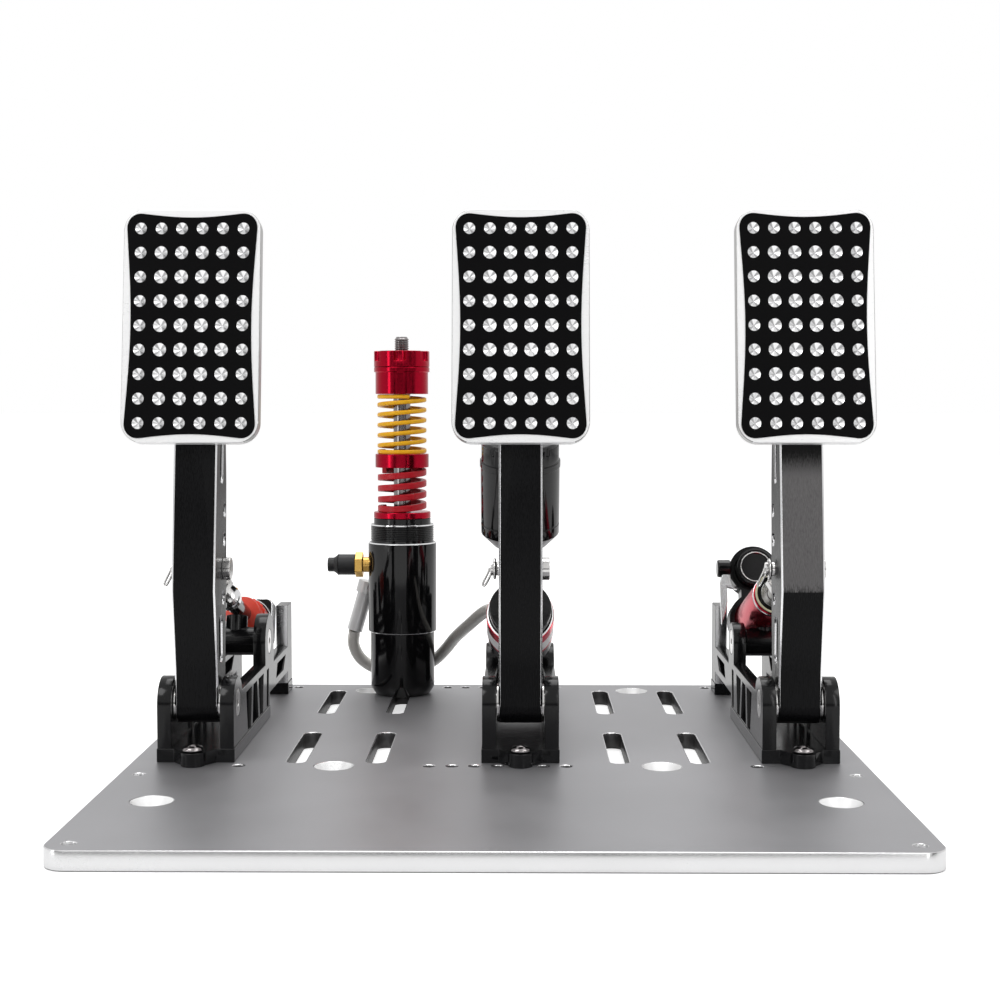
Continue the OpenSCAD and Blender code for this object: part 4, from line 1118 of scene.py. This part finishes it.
def area_light(name, place, target, size, power, size_y=None):
    data = bpy.data.lights.new(name, "AREA")
    data.shape = "RECTANGLE"
    data.size = size
    data.size_y = size_y or size
    data.energy = power
    lamp = bpy.data.objects.new(name, data)
    bpy.context.scene.collection.objects.link(lamp)
    lamp.location = place
    lamp.rotation_euler = (Vector(target) - Vector(place)).to_track_quat("-Z", "Y").to_euler()


def is_seen(tree):
    """The light path, and 1 for rays from the camera or through glass, which see plain white."""
    path = add_node(tree, "ShaderNodeLightPath")
    first = math_node(tree, "MAXIMUM", (path, "Is Camera Ray"), (path, "Is Transmission Ray"))
    return path, first


ROOM_BACK = (-0.85, -0.45)
ROOM_RISE = (0.06, 0.20)
ROOM_DARK = 0.03
ROOM_CEILING = 1.05
ROOM_AMBIENT = 0.5
FLAGS = ((0.60, 1.0), (0.68, 0.12), (0.86, 0.12), (0.93, 1.0))


def build_world():
    world = bpy.data.worlds.new("studio")
    bpy.context.scene.world = world
    world.use_nodes = True
    tree = world.node_tree
    tree.nodes.clear()
    out = add_node(tree, "ShaderNodeOutputWorld")
    where = add_node(tree, "ShaderNodeTexCoord")
    split = add_node(tree, "ShaderNodeSeparateXYZ")
    link(tree, where, "Generated", split, "Vector")
    behind = smooth_step(tree, split, "Y", ROOM_BACK[0], ROOM_BACK[1], ROOM_DARK)
    above = smooth_step(tree, split, "Z", ROOM_RISE[0], ROOM_RISE[1], 0.0, ROOM_CEILING)
    room = math_node(tree, "MAXIMUM", (behind, "Result"), (above, "Result"))
    across = math_node(tree, "ABSOLUTE", (split, "X"))
    flags = add_node(tree, "ShaderNodeValToRGB")
    flags.color_ramp.elements[0].position = 0.0
    flags.color_ramp.elements[1].position = 1.0
    for place, level in FLAGS:
        stop = flags.color_ramp.elements.new(place)
        stop.color = (level, level, level, 1)
    flags.color_ramp.elements[0].color = (1, 1, 1, 1)
    flags.color_ramp.elements[-1].color = (1, 1, 1, 1)
    link(tree, across, "Value", flags, "Fac")
    flagged = math_node(tree, "MULTIPLY", (room, "Value"), (flags, "Color"))
    in_front = math_node(tree, "LESS_THAN", (split, "Y"), 0.0)
    walls = add_node(tree, "ShaderNodeMix", data_type="FLOAT")
    link(tree, in_front, "Value", walls, "Factor")
    link(tree, room, 0, walls, 2)
    link(tree, flagged, 0, walls, 3)
    ambient = add_node(tree, "ShaderNodeBackground")
    ambient.inputs["Strength"].default_value = ROOM_AMBIENT
    mirror = add_node(tree, "ShaderNodeBackground")
    link(tree, walls, 0, mirror, "Strength")
    seen = add_node(tree, "ShaderNodeBackground")
    seen.inputs["Color"].default_value = (1, 1, 1, 1)
    path, first = is_seen(tree)
    glossy = add_node(tree, "ShaderNodeMixShader")
    link(tree, path, "Is Glossy Ray", glossy, "Fac")
    link(tree, ambient, 0, glossy, 1)
    link(tree, mirror, 0, glossy, 2)
    mix = add_node(tree, "ShaderNodeMixShader")
    link(tree, first, "Value", mix, "Fac")
    link(tree, glossy, 0, mix, 1)
    link(tree, seen, 0, mix, 2)
    link(tree, mix, 0, out, "Surface")


FLOOR_GLOW = 0.65
FLOOR_MIRROR_GLOW = 0.2
FLOOR_HALF_M, FLOOR_DROP_M = 40.0, 0.0002


def build_floor():
    mesh = bpy.data.meshes.new("floor")
    half = FLOOR_HALF_M
    corners = [(-half, -half, 0), (half, -half, 0), (half, half, 0), (-half, half, 0)]
    mesh.from_pydata(corners, [], [(0, 1, 2, 3)])
    floor = bpy.data.objects.new("floor", mesh)
    floor.location = (0, 0, -FLOOR_DROP_M)
    bpy.context.scene.collection.objects.link(floor)
    mat, tree, shader = base_material("pale_floor")
    shader.inputs["Base Color"].default_value = (0.86, 0.86, 0.86, 1)
    shader.inputs["Roughness"].default_value = 0.9
    shader.inputs["Specular IOR Level"].default_value = 0.1
    glow = add_node(tree, "ShaderNodeEmission")
    path, first = is_seen(tree)
    shine = math_node(tree, "MULTIPLY", (path, "Is Glossy Ray"), FLOOR_MIRROR_GLOW)
    level = math_node(tree, "MULTIPLY_ADD", (first, "Value"), FLOOR_GLOW, (shine, "Value"))
    link(tree, level, "Value", glow, "Strength")
    total = add_node(tree, "ShaderNodeAddShader")
    link(tree, shader, 0, total, 0)
    link(tree, glow, 0, total, 1)
    link(tree, total, 0, tree.nodes["Material Output"], "Surface")
    mesh.materials.append(mat)


def build_lights():
    area_light("key", (-1.0, -1.0, 1.6), (0, 0.05, 0.1), 0.9, 12)
    area_light("fill", (1.2, -0.7, 1.3), (0, 0.05, 0.1), 0.9, 8)
    area_light("overhead", (0, 0.7, 1.9), (0, 0.1, 0.1), 1.2, 14)
    area_light("strip_left", (-1.3, -0.75, 0.5), (-0.07, 0.18, 0.1), 0.25, 3, 1.2)
    area_light("strip_right", (0.62, -1.15, 0.5), (-0.07, 0.18, 0.1), 0.10, 1.6, 1.2)


bpy.context.scene.view_settings.view_transform = "Standard"
build_camera()
build_world()
build_floor()
build_lights()
build_plate()
build_units()
build_clutch()
build_throttle()
build_brake()
build_tower()
build_springs()
build_hose(build_fittings())
